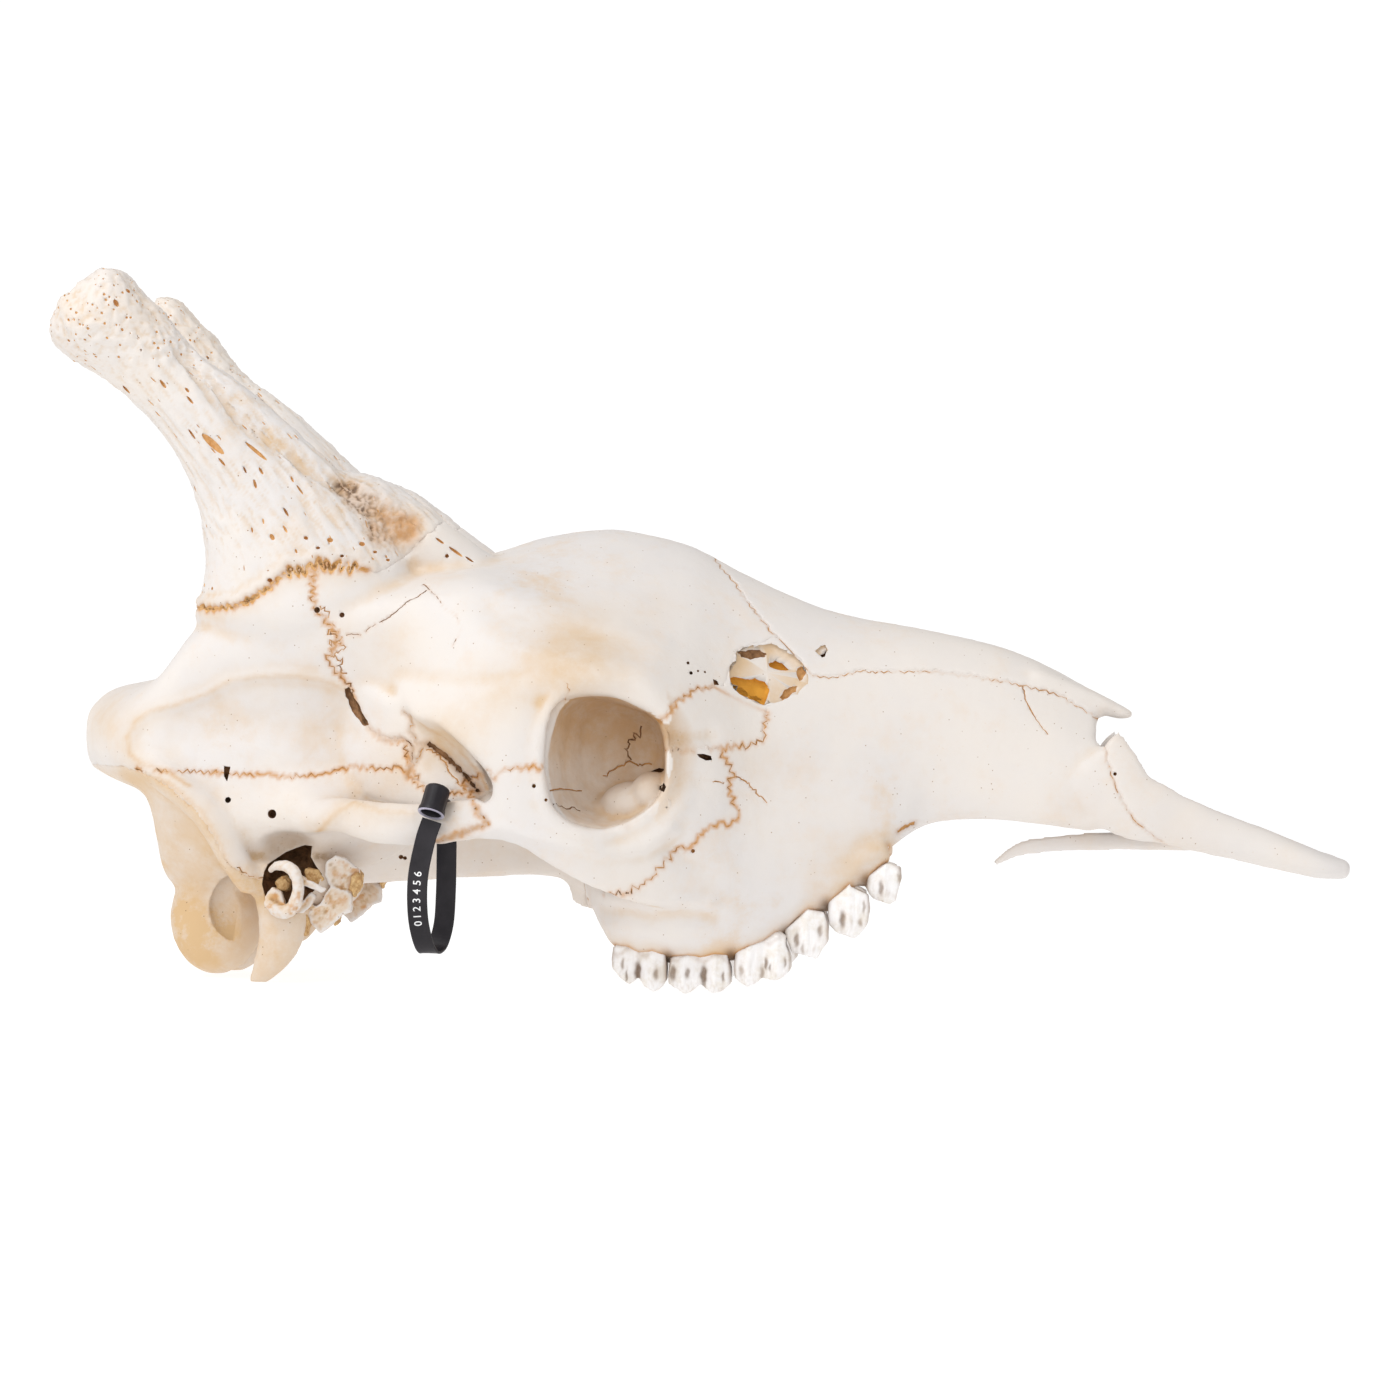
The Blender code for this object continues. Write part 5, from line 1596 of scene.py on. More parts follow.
grooves = grooveTree()
sutureGroove = {"radius": 0.28, "uneven": 0.55, "hornWidening": 4.2}
grooveCutters = []
for name, spec in bonePieces.items():
    runs = [run for owner, run in sutures if owner == name]
    if runs:
        horn = name == "ossicone"
        size = sutureGroove["radius"] * (sutureGroove["hornWidening"] if horn else 0.7 + 0.6 * spec["stain"])
        grooveCutters.append(grow(wireObject("suture" + name, runs), grooves, Radius=size * mm, Seed=1.0,
                                  Uneven=sutureGroove["uneven"], Paint=slitPaint if horn else suturePaint))
for number, (name, run) in enumerate(cracks):
    spec = crackPaths[name]
    if len(run) > 3 and spec["radius"]:
        paint = crackStainAndShadePaint if spec.get("dark") else suturePaint
        grooveCutters.append(grow(wireObject("crack" + name, [run]), grooves, Radius=spec["radius"] * mm,
                                  Uneven=0.45, Seed=5.0 + number, Paint=paint))
print("groove cutters:", len(grooveCutters), round(time.time() - began, 1))


# Holes and hollows by the photo's pixels, cut on both sides

def pixelPrism(name, pixels, depth, material, lift=6.0, taper=1.0, ragged=0.0):
    # closed cutter whose walls run along the sight lines, from above the surface to a depth in it
    if ragged:
        dice = random.Random(name)
        torn = []
        for k, (u, v) in enumerate(pixels):
            ahead = pixels[(k + 1) % len(pixels)]
            torn.append((u, v))
            for t in (0.33, 0.67):
                torn.append((u + (ahead[0] - u) * t + dice.uniform(-ragged, ragged),
                             v + (ahead[1] - v) * t + dice.uniform(-ragged, ragged)))
        pixels = torn
    cu = sum(p[0] for p in pixels) / len(pixels)
    cv = sum(p[1] for p in pixels) / len(pixels)
    middle = onSurface(cu, cv)
    if middle is None:
        return None
    reach = (middle - pixelRay(cu, cv)[0]).length
    rings = []
    for extra, size in ((-lift, 1.0), (depth * 0.6, 1.0), (depth, taper)):
        ring = []
        for u, v in pixels:
            u, v = cu + (u - cu) * size, cv + (v - cv) * size
            start, ray = pixelRay(u, v)
            hit = onSurface(u, v)
            here = (hit - start).length if hit is not None else reach
            ring.append(tuple(start + ray * ((here if abs(here - reach) < 14 else reach) + extra)))
        rings.append(ring)
    return loft(name, rings, material)


hornSlits = [  # pixel, half-length, half-width and turn of single slits on the near horn
    (213, 444, 14.5, 3.6, 43), (257, 452, 15, 1.8, 40), (116, 303, 4, 2.2, 60), (128, 291, 2.5, 1.5, 40),
    (126, 389, 6, 1.2, 50), (163, 384, 5, 1.6, 55), (306, 466, 8, 1.6, 42), (261, 471, 4, 1.2, 60),
    (255, 484, 4.5, 1.4, 75), (263, 521, 3.5, 1.2, 80), (286, 512, 5, 1.3, 60), (272, 537, 3.5, 2.2, 55),
    (285, 529, 4.5, 1.3, 60), (306, 538, 2.2, 1.7, 20), (330, 540, 3.0, 2.4, 10), (362, 544, 3.0, 2.2, 10),
    (292, 479, 3.5, 1.1, 65), (300, 490, 6, 1.0, 55), (245, 470, 3.5, 1.0, 65), (222, 462, 5, 1.2, 50),
    (192, 434, 6, 1.1, 55), (187, 390, 3, 1.3, 50), (190, 400, 5, 1.2, 50), (234, 405, 8, 1.2, 50),
    (245, 418, 9, 1.0, 48), (252, 530, 3, 1.0, 80), (318, 548, 2.0, 1.4, 0), (342, 556, 2.2, 1.6, 0),
    (375, 552, 2.0, 1.4, 0), (270, 580, 2.6, 2.0, 0), (388, 560, 2.0, 1.4, 0), (296, 551, 2.4, 1.2, 70),
    (456, 552, 9, 1.4, 35), (470, 560, 6, 1.0, 35), (440, 541, 5, 1.2, 35),
]
# the dark walls of the holes and hollows below are painted shade, the crack brown partly also stain
holeCuts = {  # outline, depth, colour of the walls and how torn the edge is
    "earHollow": {
        "pixels": [
            (264, 872), (268, 864), (277, 858), (286, 852), (296, 848), (305, 845), (312, 846), (311, 857),
            (316, 866), (322, 874), (318, 886), (306, 900), (296, 914), (280, 914), (266, 900), (262, 884),
        ],
        "depth": 16, "paint": crackStainAndShadePaint,
    },
    "faceRecess": {
        "pixels": [
            (737, 651), (748, 647), (759, 645), (771, 643.6), (785, 650), (790, 654), (797.5, 659),
            (803, 665), (806, 671.5), (808, 683.6), (797.5, 694.5), (785, 698), (774.5, 703), (763.6, 705.4),
            (752, 701), (743, 696), (732, 688.5), (729.6, 676), (729.6, 666.7), (736, 661),
        ],
        "depth": 3.0, "paint": paleBone, "ragged": 1.6,
    },
    # painted shadow along the upper edge of the recess, cut a little deeper
    "recessStreak": {
        "pixels": [(738, 652), (748, 650), (760, 650), (767, 653), (766, 657), (758, 658), (750, 660), (741, 657)],
        "depth": 4.4, "paint": crackStainAndShadePaint, "ragged": 1.0,
    },
    "recessKnob": {
        "pixels": [(797, 668), (803, 667), (806, 672), (803, 679), (799, 682), (796, 675)],
        "depth": 3.6, "paint": suturePaint, "ragged": 1.0,
    },
    "recessFlake": {
        "pixels": [(784, 689), (792, 686), (798, 686), (796, 692), (789, 697), (783, 700), (779, 698)],
        "depth": 3.6, "paint": suturePaint, "ragged": 1.2,
    },
    "amberLow": {
        "pixels": [
            (730, 678), (738, 677.6), (748, 679), (755, 678), (762, 681), (768, 686), (769, 692), (764, 705),
            (753, 700), (743, 696), (733, 688),
        ],
        "depth": 6.5, "paint": backlitAmberPaint, "ragged": 1.0,
    },
    "amberHigh": {
        "pixels": [(768, 664), (775, 660.5), (782, 663), (789, 670), (781, 670.5), (770, 667)],
        "depth": 5.5, "paint": backlitAmberPaint, "ragged": 0.8,
    },
    "brokenPane": {
        "pixels": [(815, 651), (821, 646), (825, 645), (828, 650), (824, 657), (819, 655)],
        "depth": 2.0, "paint": paleBone,
    },
    "brokenPaneDeep": {
        "pixels": [(820, 655), (824, 654), (827, 649), (825, 656.5), (822, 657.5)],
        "depth": 5.0, "paint": crackStainAndShadePaint,
    },
    "tearHole": {
        "pixels": [(697, 754), (704, 754), (711, 756), (712, 760), (706, 760.5), (699, 757)],
        "depth": 5.0, "paint": crackStainAndShadePaint,
    },
    "triangleHole": {
        "pixels": [(224, 766), (230.5, 767), (229, 774), (227, 781.5), (224, 776)],
        "depth": 5.0, "paint": crackStainAndShadePaint,
    },
    "socketHoleHigh": {
        "pixels": [(647, 775), (652, 771), (659, 768), (664, 769), (663, 776), (658, 780), (649, 780)],
        "depth": 7.0, "paint": crackStainAndShadePaint,
    },
    "socketHoleLow": {
        "pixels": [(659, 786), (664, 783), (666, 787), (664, 792), (659, 790)],
        "depth": 9.0, "paint": holeShadePaint,
    },
    "wideCrack": {
        "pixels": [
            (345, 689), (349, 687), (353, 694), (358, 703), (363, 714), (371, 727), (370, 733), (363, 727),
            (356, 717), (351, 708), (346, 697),
        ],
        "depth": 2.5, "paint": crackStainAndShadePaint, "ragged": 0.9,
    },
    "faceDot": {
        "pixels": [(713, 679), (717, 681), (719, 685), (714, 685)],
        "depth": 3.0, "paint": crackStainAndShadePaint,
    },
}
# the dark walls of these holes are painted shade
roundHoles = [  # pixel, radius and paint of small round holes
    (228, 800, 1.5, holeShadePaint), (272, 814, 2.3, crackStainAndShadePaint), (317, 610, 1.5, crackStainAndShadePaint),
    (342, 615, 1.3, crackStainAndShadePaint), (691, 673, 0.9, holeShadePaint), (688, 663, 0.8, crackStainAndShadePaint),
    (698, 671, 0.6, crackStainAndShadePaint), (705, 672, 0.6, crackStainAndShadePaint), (1115, 774, 0.9, crackStainAndShadePaint),
    (534, 786, 1.0, suturePaint), (546, 800, 0.8, suturePaint), (693, 851, 1.0, suturePaint),
    (401, 857, 1.2, crackStainAndShadePaint), (405, 858, 1.0, crackStainAndShadePaint),
    (317, 610, 1.2, suturePaint), (447, 556, 1.0, suturePaint),
]


def makeHoles():
    cutters = []
    for name, spec in holeCuts.items():
        paint = spec["paint"]
        cutter = pixelPrism(name, spec["pixels"], spec["depth"], paint, taper=0.75, ragged=spec.get("ragged", 0))
        if cutter:
            cutters += [cutter, mirrorCopy(cutter)]
    for number, (u, v, radius, paint) in enumerate(roundHoles):
        spot = onSurface(u, v)
        if spot is not None:
            hole = roundBody(f"roundHole{number}", spot, (radius, radius * 2.2, radius), segments=12, rings=8,
                             material=paint)
            cutters += [hole, mirrorCopy(hole)]
    right, top, back, _ = cameraAxes()
    for number, (u, v, length, width, turn) in enumerate(hornSlits):
        spot = onSurface(u, v)
        if spot is None:
            continue
        slit = roundBody(f"slit{number}", (-forwardShift, 0, 0), (length * 0.52, width * 0.52, 1.3 + width * 0.35),
                         segments=16, rings=10, material=slitPaint)
        a = -math.radians(turn)
        way = right * math.cos(a) + top * math.sin(a)
        place = Matrix((way, back.cross(way), back)).transposed().to_4x4()
        slit.data.transform(Matrix.Translation(toWorld(spot)) @ place)
        cutters += [slit, mirrorCopy(slit)]
    (u, v), (wide, tall) = backForm["facetPixel"], backForm["facetSize"]
    disc = [(u + wide * math.cos(a), v + tall * math.sin(a), 60) for a in (math.pi * k / 16 for k in range(32))]
    facet = pixelSolid("facet", disc, 60, backForm["facetDepth"], baseBone)
    cutters += [facet, mirrorCopy(facet)]
    return cutters


holeCutters = makeHoles()
print("hole cutters:", len(holeCutters))


# Pits and slits scattered over the horns, by a geometry tree

pitLook = {
    "slits": {"count": 38, "size": (1.6, 0.30, 0.5), "seed": 7, "zone": "shaft"},
    "pits": {"count": 330, "size": (0.62, 0.5, 0.7), "seed": 11, "zone": "knob"},
    "rim": {"count": 70, "size": (0.75, 0.6, 0.9), "seed": 19, "zone": "foot"},
}


def pitTree():
    # small stretched balls, thick where the zone's weight is high and laid along the grain
    tree, given, made = newTree("bonePits", [
        ("Density", "NodeSocketFloat", 20000.0), ("Length", "NodeSocketFloat", 0.003),
        ("Width", "NodeSocketFloat", 0.0007), ("Depth", "NodeSocketFloat", 0.0009),
        ("Seed", "NodeSocketInt", 1), ("Paint", "NodeSocketMaterial", None),
    ])
    given = given.outputs
    weight, grain = (
        addNode(tree, "GeometryNodeInputNamedAttribute", {"Name": name}, data_type=kind).outputs[0]
        for name, kind in (("zone", "FLOAT"), ("grainWay", "FLOAT_VECTOR"))
    )
    scatter = addNode(tree, "GeometryNodeDistributePointsOnFaces", {
        "Mesh": given["Geometry"], "Density": times(tree, given["Density"], weight), "Seed": given["Seed"],
    }, distribute_method="RANDOM")
    ball = addNode(tree, "GeometryNodeMeshIcoSphere", {"Radius": 1.0, "Subdivisions": 2})
    aim = addNode(tree, "FunctionNodeAlignRotationToVector", {"Vector": grain}, axis="X")
    turn = addNode(tree, "FunctionNodeAlignRotationToVector", {
        "Rotation": aim.outputs[0], "Vector": scatter.outputs["Normal"],
    }, axis="Z", pivot_axis="X")
    chance = addNode(tree, "FunctionNodeRandomValue", {"Min": 0.45, "Max": 1.35, "Seed": given["Seed"]},
                     data_type="FLOAT")
    size = addNode(tree, "ShaderNodeCombineXYZ", {0: given["Length"], 1: given["Width"], 2: given["Depth"]})
    scaled = addNode(tree, "ShaderNodeVectorMath", {0: size.outputs[0], "Scale": chance.outputs[1]},
                     operation="SCALE")
    copies = addNode(tree, "GeometryNodeInstanceOnPoints", {
        "Points": scatter.outputs["Points"], "Instance": ball.outputs[0], "Rotation": turn.outputs[0],
        "Scale": scaled.outputs[0],
    })
    return closeTree(tree, given, made, copies.outputs[0])


hornAxis = [(-205, -50, 200), (-226, -59, 257), (-268, -70, 303), (-313, -78, 345)]


def hornZones(points):
    # weights of the horn's shaft, knob and foot at each point, and the way its grain runs
    axis = np.array(hornAxis, float)
    up = points[:, 2]
    zones = {
        "shaft": np.clip((up - 196) / 12, 0, 1) * np.clip((335 - up) / 25, 0.15, 1),
        "knob": np.clip((up - 296) / 25, 0, 1),
        "foot": np.clip(1 - np.abs(up - 208 - (points[:, 0] + 210) * 0.18) / 10, 0, 1),
    }
    mids = (axis[1:] + axis[:-1]) / 2
    way = np.diff(axis, axis=0)[np.argmin(np.abs(up[:, None] - mids[None, :, 2]), axis=1)]
    fan = np.clip((235 - up) / 40, 0, 1)[:, None]
    spread = np.stack([(points[:, 0] + 200) * -0.012, np.zeros(len(points)), np.zeros(len(points))], axis=1)
    way = way / np.linalg.norm(way, axis=1)[:, None] + spread * fan
    return zones, way / np.linalg.norm(way, axis=1)[:, None]


pits = pitTree()


def hornPits(horn):
    zones, way = hornZones(toRaw(readPoints(horn.data)))
    cutters = []
    for name, spec in pitLook.items():
        copy = duplicate(horn, horn.name + name)
        setAttribute(copy.data, "zone", zones[spec["zone"]] ** 2)
        setAttribute(copy.data, "grainWay", way, "FLOAT_VECTOR")
        length, width, depth = spec["size"]
        cutters.append(grow(copy, pits, Density=spec["count"] / 0.011, Length=length * mm, Width=width * mm,
                            Depth=depth * mm, Seed=spec["seed"], Paint=slitPaint))
    return cutters


# Surface form: ridges, hollows and small unevenness

ridgeLines = {
    "fossaLine": {
        "points": [
            (-174, 149), (-185, 155), (-203, 157), (-221, 156), (-235, 153), (-248, 146), (-262, 140),
            (-276, 137), (-284, 130), (-287, 123), (-285, 114), (-281, 110), (-273, 107),
        ], "height": 1.1, "width": 3.2,
    },
    "nuchalLine": {
        "points": [(-274, 105), (-262, 99), (-248, 88), (-239, 76), (-233, 64), (-227, 50)],
        "height": 1.2, "width": 3.5,
    },
    "archRoot": {
        "points": [(-182, 81), (-174, 89), (-166, 93), (-152, 89), (-135, 89)], "height": 1.2, "width": 3.0,
    },
    "facialCrest": {
        "points": [(-45, 50), (-32, 49), (-17, 47), (-2, 49), (13, 48)], "height": 2.0, "width": 4.0,
    },
    "crestShadow": {
        "points": [(-42, 41), (-30, 41), (-16, 39), (-2, 41), (14, 40)], "height": -1.6, "width": 4.5,
    },
    "browLine": {
        "points": [(-113, 212), (-98, 204), (-82, 197), (-60, 190), (-36, 184), (-16, 174)],
        "height": 1.6, "width": 6.0,
    },
    "underBrow": {
        "points": [(-100, 192), (-80, 184), (-55, 176), (-30, 169)], "height": -1.8, "width": 10.0,
    },
    "secondRidge": {
        "points": [(-92, 84), (-75, 80), (-56, 76), (-38, 72), (-20, 74), (-6, 84)],
        "height": 1.6, "width": 3.4,
    },
    "cheekHollow": {
        "points": [(-30, 84), (-12, 96), (4, 108)], "height": -1.6, "width": 7.0,
    },
    "tearHollow": {
        "points": [(-12, 131), (-2, 130), (10, 132)], "height": -3.0, "width": 6.0,
    },
    "fossaFloor": {
        "points": [(-262, 126), (-230, 132), (-200, 134), (-170, 130)], "height": -1.4, "width": 12.0,
    },
}


def pathDistance(points, path):
    best = np.full(len(points), 1e9)
    for (x0, z0), (x1, z1) in zip(path, path[1:]):
        dx, dz = x1 - x0, z1 - z0
        t = np.clip(((points[:, 0] - x0) * dx + (points[:, 2] - z0) * dz) / (dx * dx + dz * dz), 0, 1)
        best = np.minimum(best, np.hypot(points[:, 0] - x0 - t * dx, points[:, 2] - z0 - t * dz))
    return best


def nearTree():
    # writes each point's distance to a set of wires
    tree, given, made = newTree("nearLines", [
        ("Lines", "NodeSocketObject", None), ("Name", "NodeSocketString", "near"),
    ])
    given = given.outputs
    lines = addNode(tree, "GeometryNodeObjectInfo", {"Object": given["Lines"]}).outputs["Geometry"]
    near = addNode(tree, "GeometryNodeProximity", {"Geometry": lines}, target_element="EDGES")
    store = addNode(tree, "GeometryNodeStoreNamedAttribute", data_type="FLOAT", domain="POINT")
    feed(tree, store, {"Geometry": given["Geometry"], "Name": given["Name"], "Value": near.outputs["Distance"]})
    feed(tree, made, {0: store.outputs["Geometry"]})
    return tree


def measureLines(obj):
    # distances in millimetres to the sutures, cracks and other lines, by name
    for name, lines in lineSets.items():
        addGrowth(obj, nearLines, {"Lines": lines, "Name": name})
    bakeModifiers(obj)
    found = {}
    for name in lineSets:
        attribute = obj.data.attributes[name]
        found[name] = readRows(attribute.data, "value", 1)[:, 0].astype(np.float64) / mm
        obj.data.attributes.remove(attribute)
    return found


nearLines = nearTree()
crackSets = {name: [] for name in ("nearFine", "nearCrack", "nearWarm", "nearPatch", "nearValley", "nearSlot")}
for name, run in cracks:
    spec = crackPaths[name]
    crackSets[spec.get("set", "nearFine" if spec["radius"] < 0.5 else "nearCrack")].append(run)
lineSets = {
    "nearPlain": wireObject("plainLines", [run for name, run in sutures if bonePieces[name]["stain"] < 0.5]),
    "nearStained": wireObject("stainedLines", [run for name, run in sutures if bonePieces[name]["stain"] >= 0.5]),
    "nearHorn": wireObject("hornLines", [run for name, run in sutures if name == "ossicone"]),
}
for name, runs in crackSets.items():
    lineSets[name] = wireObject(name, runs)


def hollowness(obj, rounds):
    # above 0 where the surface dips below its surroundings, in millimetres
    copy = duplicate(obj, "smoothed")
    addSmoothing(copy, rounds)
    bakeModifiers(copy)
    lift = ((readPoints(copy.data) - readPoints(obj.data)) * readNormals(obj.data)).sum(axis=1) / mm
    discard(copy)
    return lift


def sample(field, points):
    return np.array([field(Vector(p)) for p in points])


def hornRelief(obj):
    # furrows along the grain and warts on the knob
    points, normals = toRaw(readPoints(obj.data)), readNormals(obj.data)
    knob = hornZones(points)[0]["knob"]
    axis = Vector((-100, -27, 133)).normalized()
    side = axis.cross(Vector((0, 1, 0))).normalized()
    local = points @ np.array([side, axis.cross(side), axis]).T
    local[:, 2] *= 0.13  # the grain is stretched along the horn
    furrow = sample(lambda p: noise.fractal(p / 3.4, 0.9, 2.1, 3), local)
    coarse = sample(lambda p: noise.noise(p / 9.0), local)
    warts = sample(lambda p: noise.turbulence(p / 3.6, 3, False), points)
    fade = np.clip((points[:, 2] - 205) / 30, 0.15, 1)
    move = 1.0 * furrow * fade * (1 - 0.6 * knob) + 1.1 * coarse * fade
    move += knob * (0.9 * (0.55 - warts) + 0.9 * coarse)
    writePoints(obj.data, readPoints(obj.data) + normals * move[:, None] * mm)


def shapeSurface(obj, kind):
    near = measureLines(obj)
    mesh = obj.data
    points, normals = toRaw(readPoints(mesh)), readNormals(mesh)
    sideways = np.clip(np.abs(normals[:, 1]) * 1.6 - 0.25, 0, 1)
    outward = np.sign(normals[:, 1]) == np.sign(points[:, 1])
    move = np.zeros(len(points))
    if kind == "ossicone":
        move += 1.3 * falloff(near["nearStained"] - 3.2, 2.4) * (points[:, 2] < 240)
    else:
        for spec in ridgeLines.values():
            distance = pathDistance(points, spec["points"])
            move += spec["height"] * np.exp(-(distance / spec["width"]) ** 2) * sideways * outward
    move -= 0.1 * falloff(near["nearPlain"], 1.0) + 0.18 * falloff(near["nearStained"], 1.0)
    move -= 0.6 * falloff(near["nearHorn"], 1.5) + 0.8 * falloff(near["nearPatch"], 5.0)
    move -= 4.0 * falloff(near["nearValley"], 6.0)
    for other in list(bonePieces)[:list(bonePieces).index(kind)]:
        spec = bonePieces[other]
        hidden = insideOutline(spec["wavy"], points[:, 0], points[:, 2])
        move -= 0.12 * (hidden & (np.abs(points[:, 1]) > (spec["near"] or -1)))
    close = np.nonzero(near["nearPatch"] < 14)[0]
    for i in close:
        p = Vector(points[i])
        move[i] += falloff(near["nearPatch"][i], 7.0) * (1.6 * noise.noise(p / 1.9) + 1.3 * noise.noise(p / 5) - 0.6)
    move -= 0.12 * falloff(near["nearFine"], 0.8) + 0.7 * falloff(near["nearCrack"], 1.8)
    writePoints(mesh, readPoints(mesh) + normals * move[:, None] * mm)


warmClouds = [  # x, z, size and amount of faint tan clouds in side view
    (-57, 166, 24, 0.85), (-92, 150, 14, 0.35), (-302, 132, 16, 0.45), (-286, 104, 12, 0.22), (-150, 178, 14, 0.2),
    (-196, 128, 9, 0.2), (-176, 186, 9, 0.2), (76, 66, 16, 0.22), (92, 78, 10, 0.3), (-20, 196, 10, 0.14),
    (34, 120, 14, 0.16), (200, 92, 18, 0.16), (250, 88, 20, 0.14), (-128, 118, 16, 0.3), (-30, 46, 12, 0.12),
    (-118, 126, 14, 0.4), (-150, 112, 16, 0.25), (-222, 50, 10, 0.3), (-243, 62, 10, 0.3), (-168, 90, 14, 0.2),
]


linePaint = {  # set of lines, amount and width in millimetres, added up in this order
    "rust": [
        ("nearPlain", 0.5, 0.6), ("nearStained", 0.95, 1.0), ("nearStained", 0.10, 2.4), ("nearFine", 0.35, 0.5),
        ("nearCrack", 0.5, 2.0), ("nearHorn", 0.6, 1.6), ("nearPatch", 0.9, 5.0), ("nearSlot", 0.55, 2.6),
        ("nearWarm", 0.3, 0.9),
    ],
    # painted shade along the cracks and in the slot's deep lower edge
    "shade": [("nearCrack", 0.3, 1.1), ("nearSlot", 0.6, 1.2)],
    "warm": [
        ("nearWarm", 0.55, 1.4), ("nearWarm", 0.2, 6.0), ("nearHorn", 0.3, 6.0), ("nearPatch", 0.45, 8.0),
    ],
}


# stains, with painted shade in the socket's roof, on the nape and in the gaps at the gums
stainsAndShade = {
    "condyle": {"x": -252, "z": 24, "size": 17, "amount": 0.55},
    "ear": {"x": -192, "z": 56, "sizes": (26, 20), "amount": 0.4},
    "socket": {"sizes": (36, 38), "sideways": (30, 102), "roofTan": 0.6, "roofShade": 0.2, "roofRust": 0.36},
    "nape": {"above": 102, "fade": 9}, "hornTip": {"above": 318, "fade": 20},
    "gum": {"warm": 5.0, "rust": 1.5, "tipRust": 5.0, "tipShade": 3.2},
}


def paintSurface(obj, warmBase=0.0):
    # three layers over the plain bone: warm tan, rust brown and painted shade
    near, mesh = measureLines(obj), obj.data
    x, y, z = toRaw(readPoints(mesh)).T
    rust, shade, lineWarm = (
        [amount * falloff(near[name], width) for name, amount, width in rows] for rows in linePaint.values()
    )
    rust, shade = sum(rust), sum(shade)
    dip, wide = hollowness(obj, 14), hollowness(obj, 60)
    horn = "ossicone" in obj.name
    warm = np.clip(dip * 1.6, 0, 0.4) if horn else np.clip(dip * 0.9, 0, 0.7) + np.clip(wide * 0.25, 0, 0.35)
    warm = sum(lineWarm, warm + warmBase)

    # painted shade in the crevices at the back of the porous patch, tan on the condyles, and on the nape tan that is
    # partly painted shade, fading out above its crest
    rear = np.clip((-158 - x) / 14, 0, 1) * falloff(near["nearPatch"], 6.0)
    shade = shade + np.clip(rear * (0.04 + dip * 1.5), 0, 0.8)
    spot = stainsAndShade["condyle"]
    condyle = falloff(np.sqrt((x - spot["x"]) ** 2 + (z - spot["z"]) ** 2), spot["size"]) * (np.abs(y) < 50) * (z < 60)
    warm = warm + spot["amount"] * condyle * np.clip((-242 - x) / 10, 0, 1)
    if warmBase > 0.5:
        warm = warm - 0.5 * np.clip((z - stainsAndShade["nape"]["above"]) / stainsAndShade["nape"]["fade"], 0, 1)
    if horn:
        warm = warm + 0.15 * np.clip((z - stainsAndShade["hornTip"]["above"]) / stainsAndShade["hornTip"]["fade"], 0, 1)
    for cloudX, cloudZ, size, amount in warmClouds:
        warm = warm + amount * falloff(np.hypot(x - cloudX, z - cloudZ), size)

    # painted shade: the eye socket turns browner and darker towards its roof
    spot, (cx, _, cz) = stainsAndShade["socket"], orbitForm["centre"]
    (sizeX, sizeZ), (inner, outer) = spot["sizes"], spot["sideways"]
    inOrbit = np.clip(1.25 - np.hypot((x - cx) / sizeX, (z - cz) / sizeZ), 0, 1)
    inOrbit = np.clip(inOrbit * (np.abs(y) < outer) * (np.abs(y) > inner) * 3, 0, 1)
    upper = np.clip((z - cz + 14 + (x - cx) * 0.3) / 34, 0, 1)
    warm = warm + inOrbit * (0.3 + spot["roofTan"] * upper)
    shade = shade + inOrbit * spot["roofShade"] * upper ** 1.5
    rust = rust + inOrbit * spot["roofRust"] * upper ** 1.5

    # tan round the ear with painted shade in its hollows, and stains along the gums with painted shade in the gaps
    # between the teeth
    spot, (sizeX, sizeZ) = stainsAndShade["ear"], stainsAndShade["ear"]["sizes"]
    ear = np.exp(-(((x - spot["x"]) / sizeX) ** 2 + ((z - spot["z"]) / sizeZ) ** 2)) * (np.abs(y) > 35)
    warm = warm + ear * spot["amount"]
    shade = np.clip(shade + ear * np.clip(dip * 1.4 + 0.08, 0, 0.8), 0, 0.9)
    if "maxilla" in obj.name:
        gum, spot = gumDistance(np.stack([x, y, z], axis=1)), stainsAndShade["gum"]
        warm = warm + 0.5 * falloff(gum, spot["warm"])
        for u, v, depth in muzzleForm["gumTips"]:
            tipX, tipZ = atPlane(u, v, -depth)
            gap = np.hypot(x - tipX, z - tipZ)
            rust = rust + 0.5 * falloff(gap, spot["tipRust"])
            shade = np.clip(shade + 0.75 * falloff(gap, spot["tipShade"]), 0, 0.9)
        rust = np.maximum(rust, 0.9 * falloff(gum, spot["rust"]))
    setAttribute(mesh, "rust", np.clip(rust, 0, 1))
    setAttribute(mesh, "shade", shade)
    setAttribute(mesh, "warm", np.clip(warm, 0, 0.85))


def nodeName(name):
    for tail in ("Right", "Left"):
        if name.endswith(tail):
            return name[:-len(tail)] + "_" + tail.lower()
    return {"skullBase": "skull_base"}.get(name, name)


def overlaps(low, high, obj):
    corners = [obj.matrix_world @ Vector(c) for c in obj.bound_box]
    for axis in range(3):
        if min(c[axis] for c in corners) > high[axis] or max(c[axis] for c in corners) < low[axis]:
            return False
    return True


def cutMarks(bone, cutters):
    # grooves, holes and pits, each in its own colour
    if cutters:
        combine(bone, "DIFFERENCE", cutters, giveMaterial=True)
    keepMain(bone)


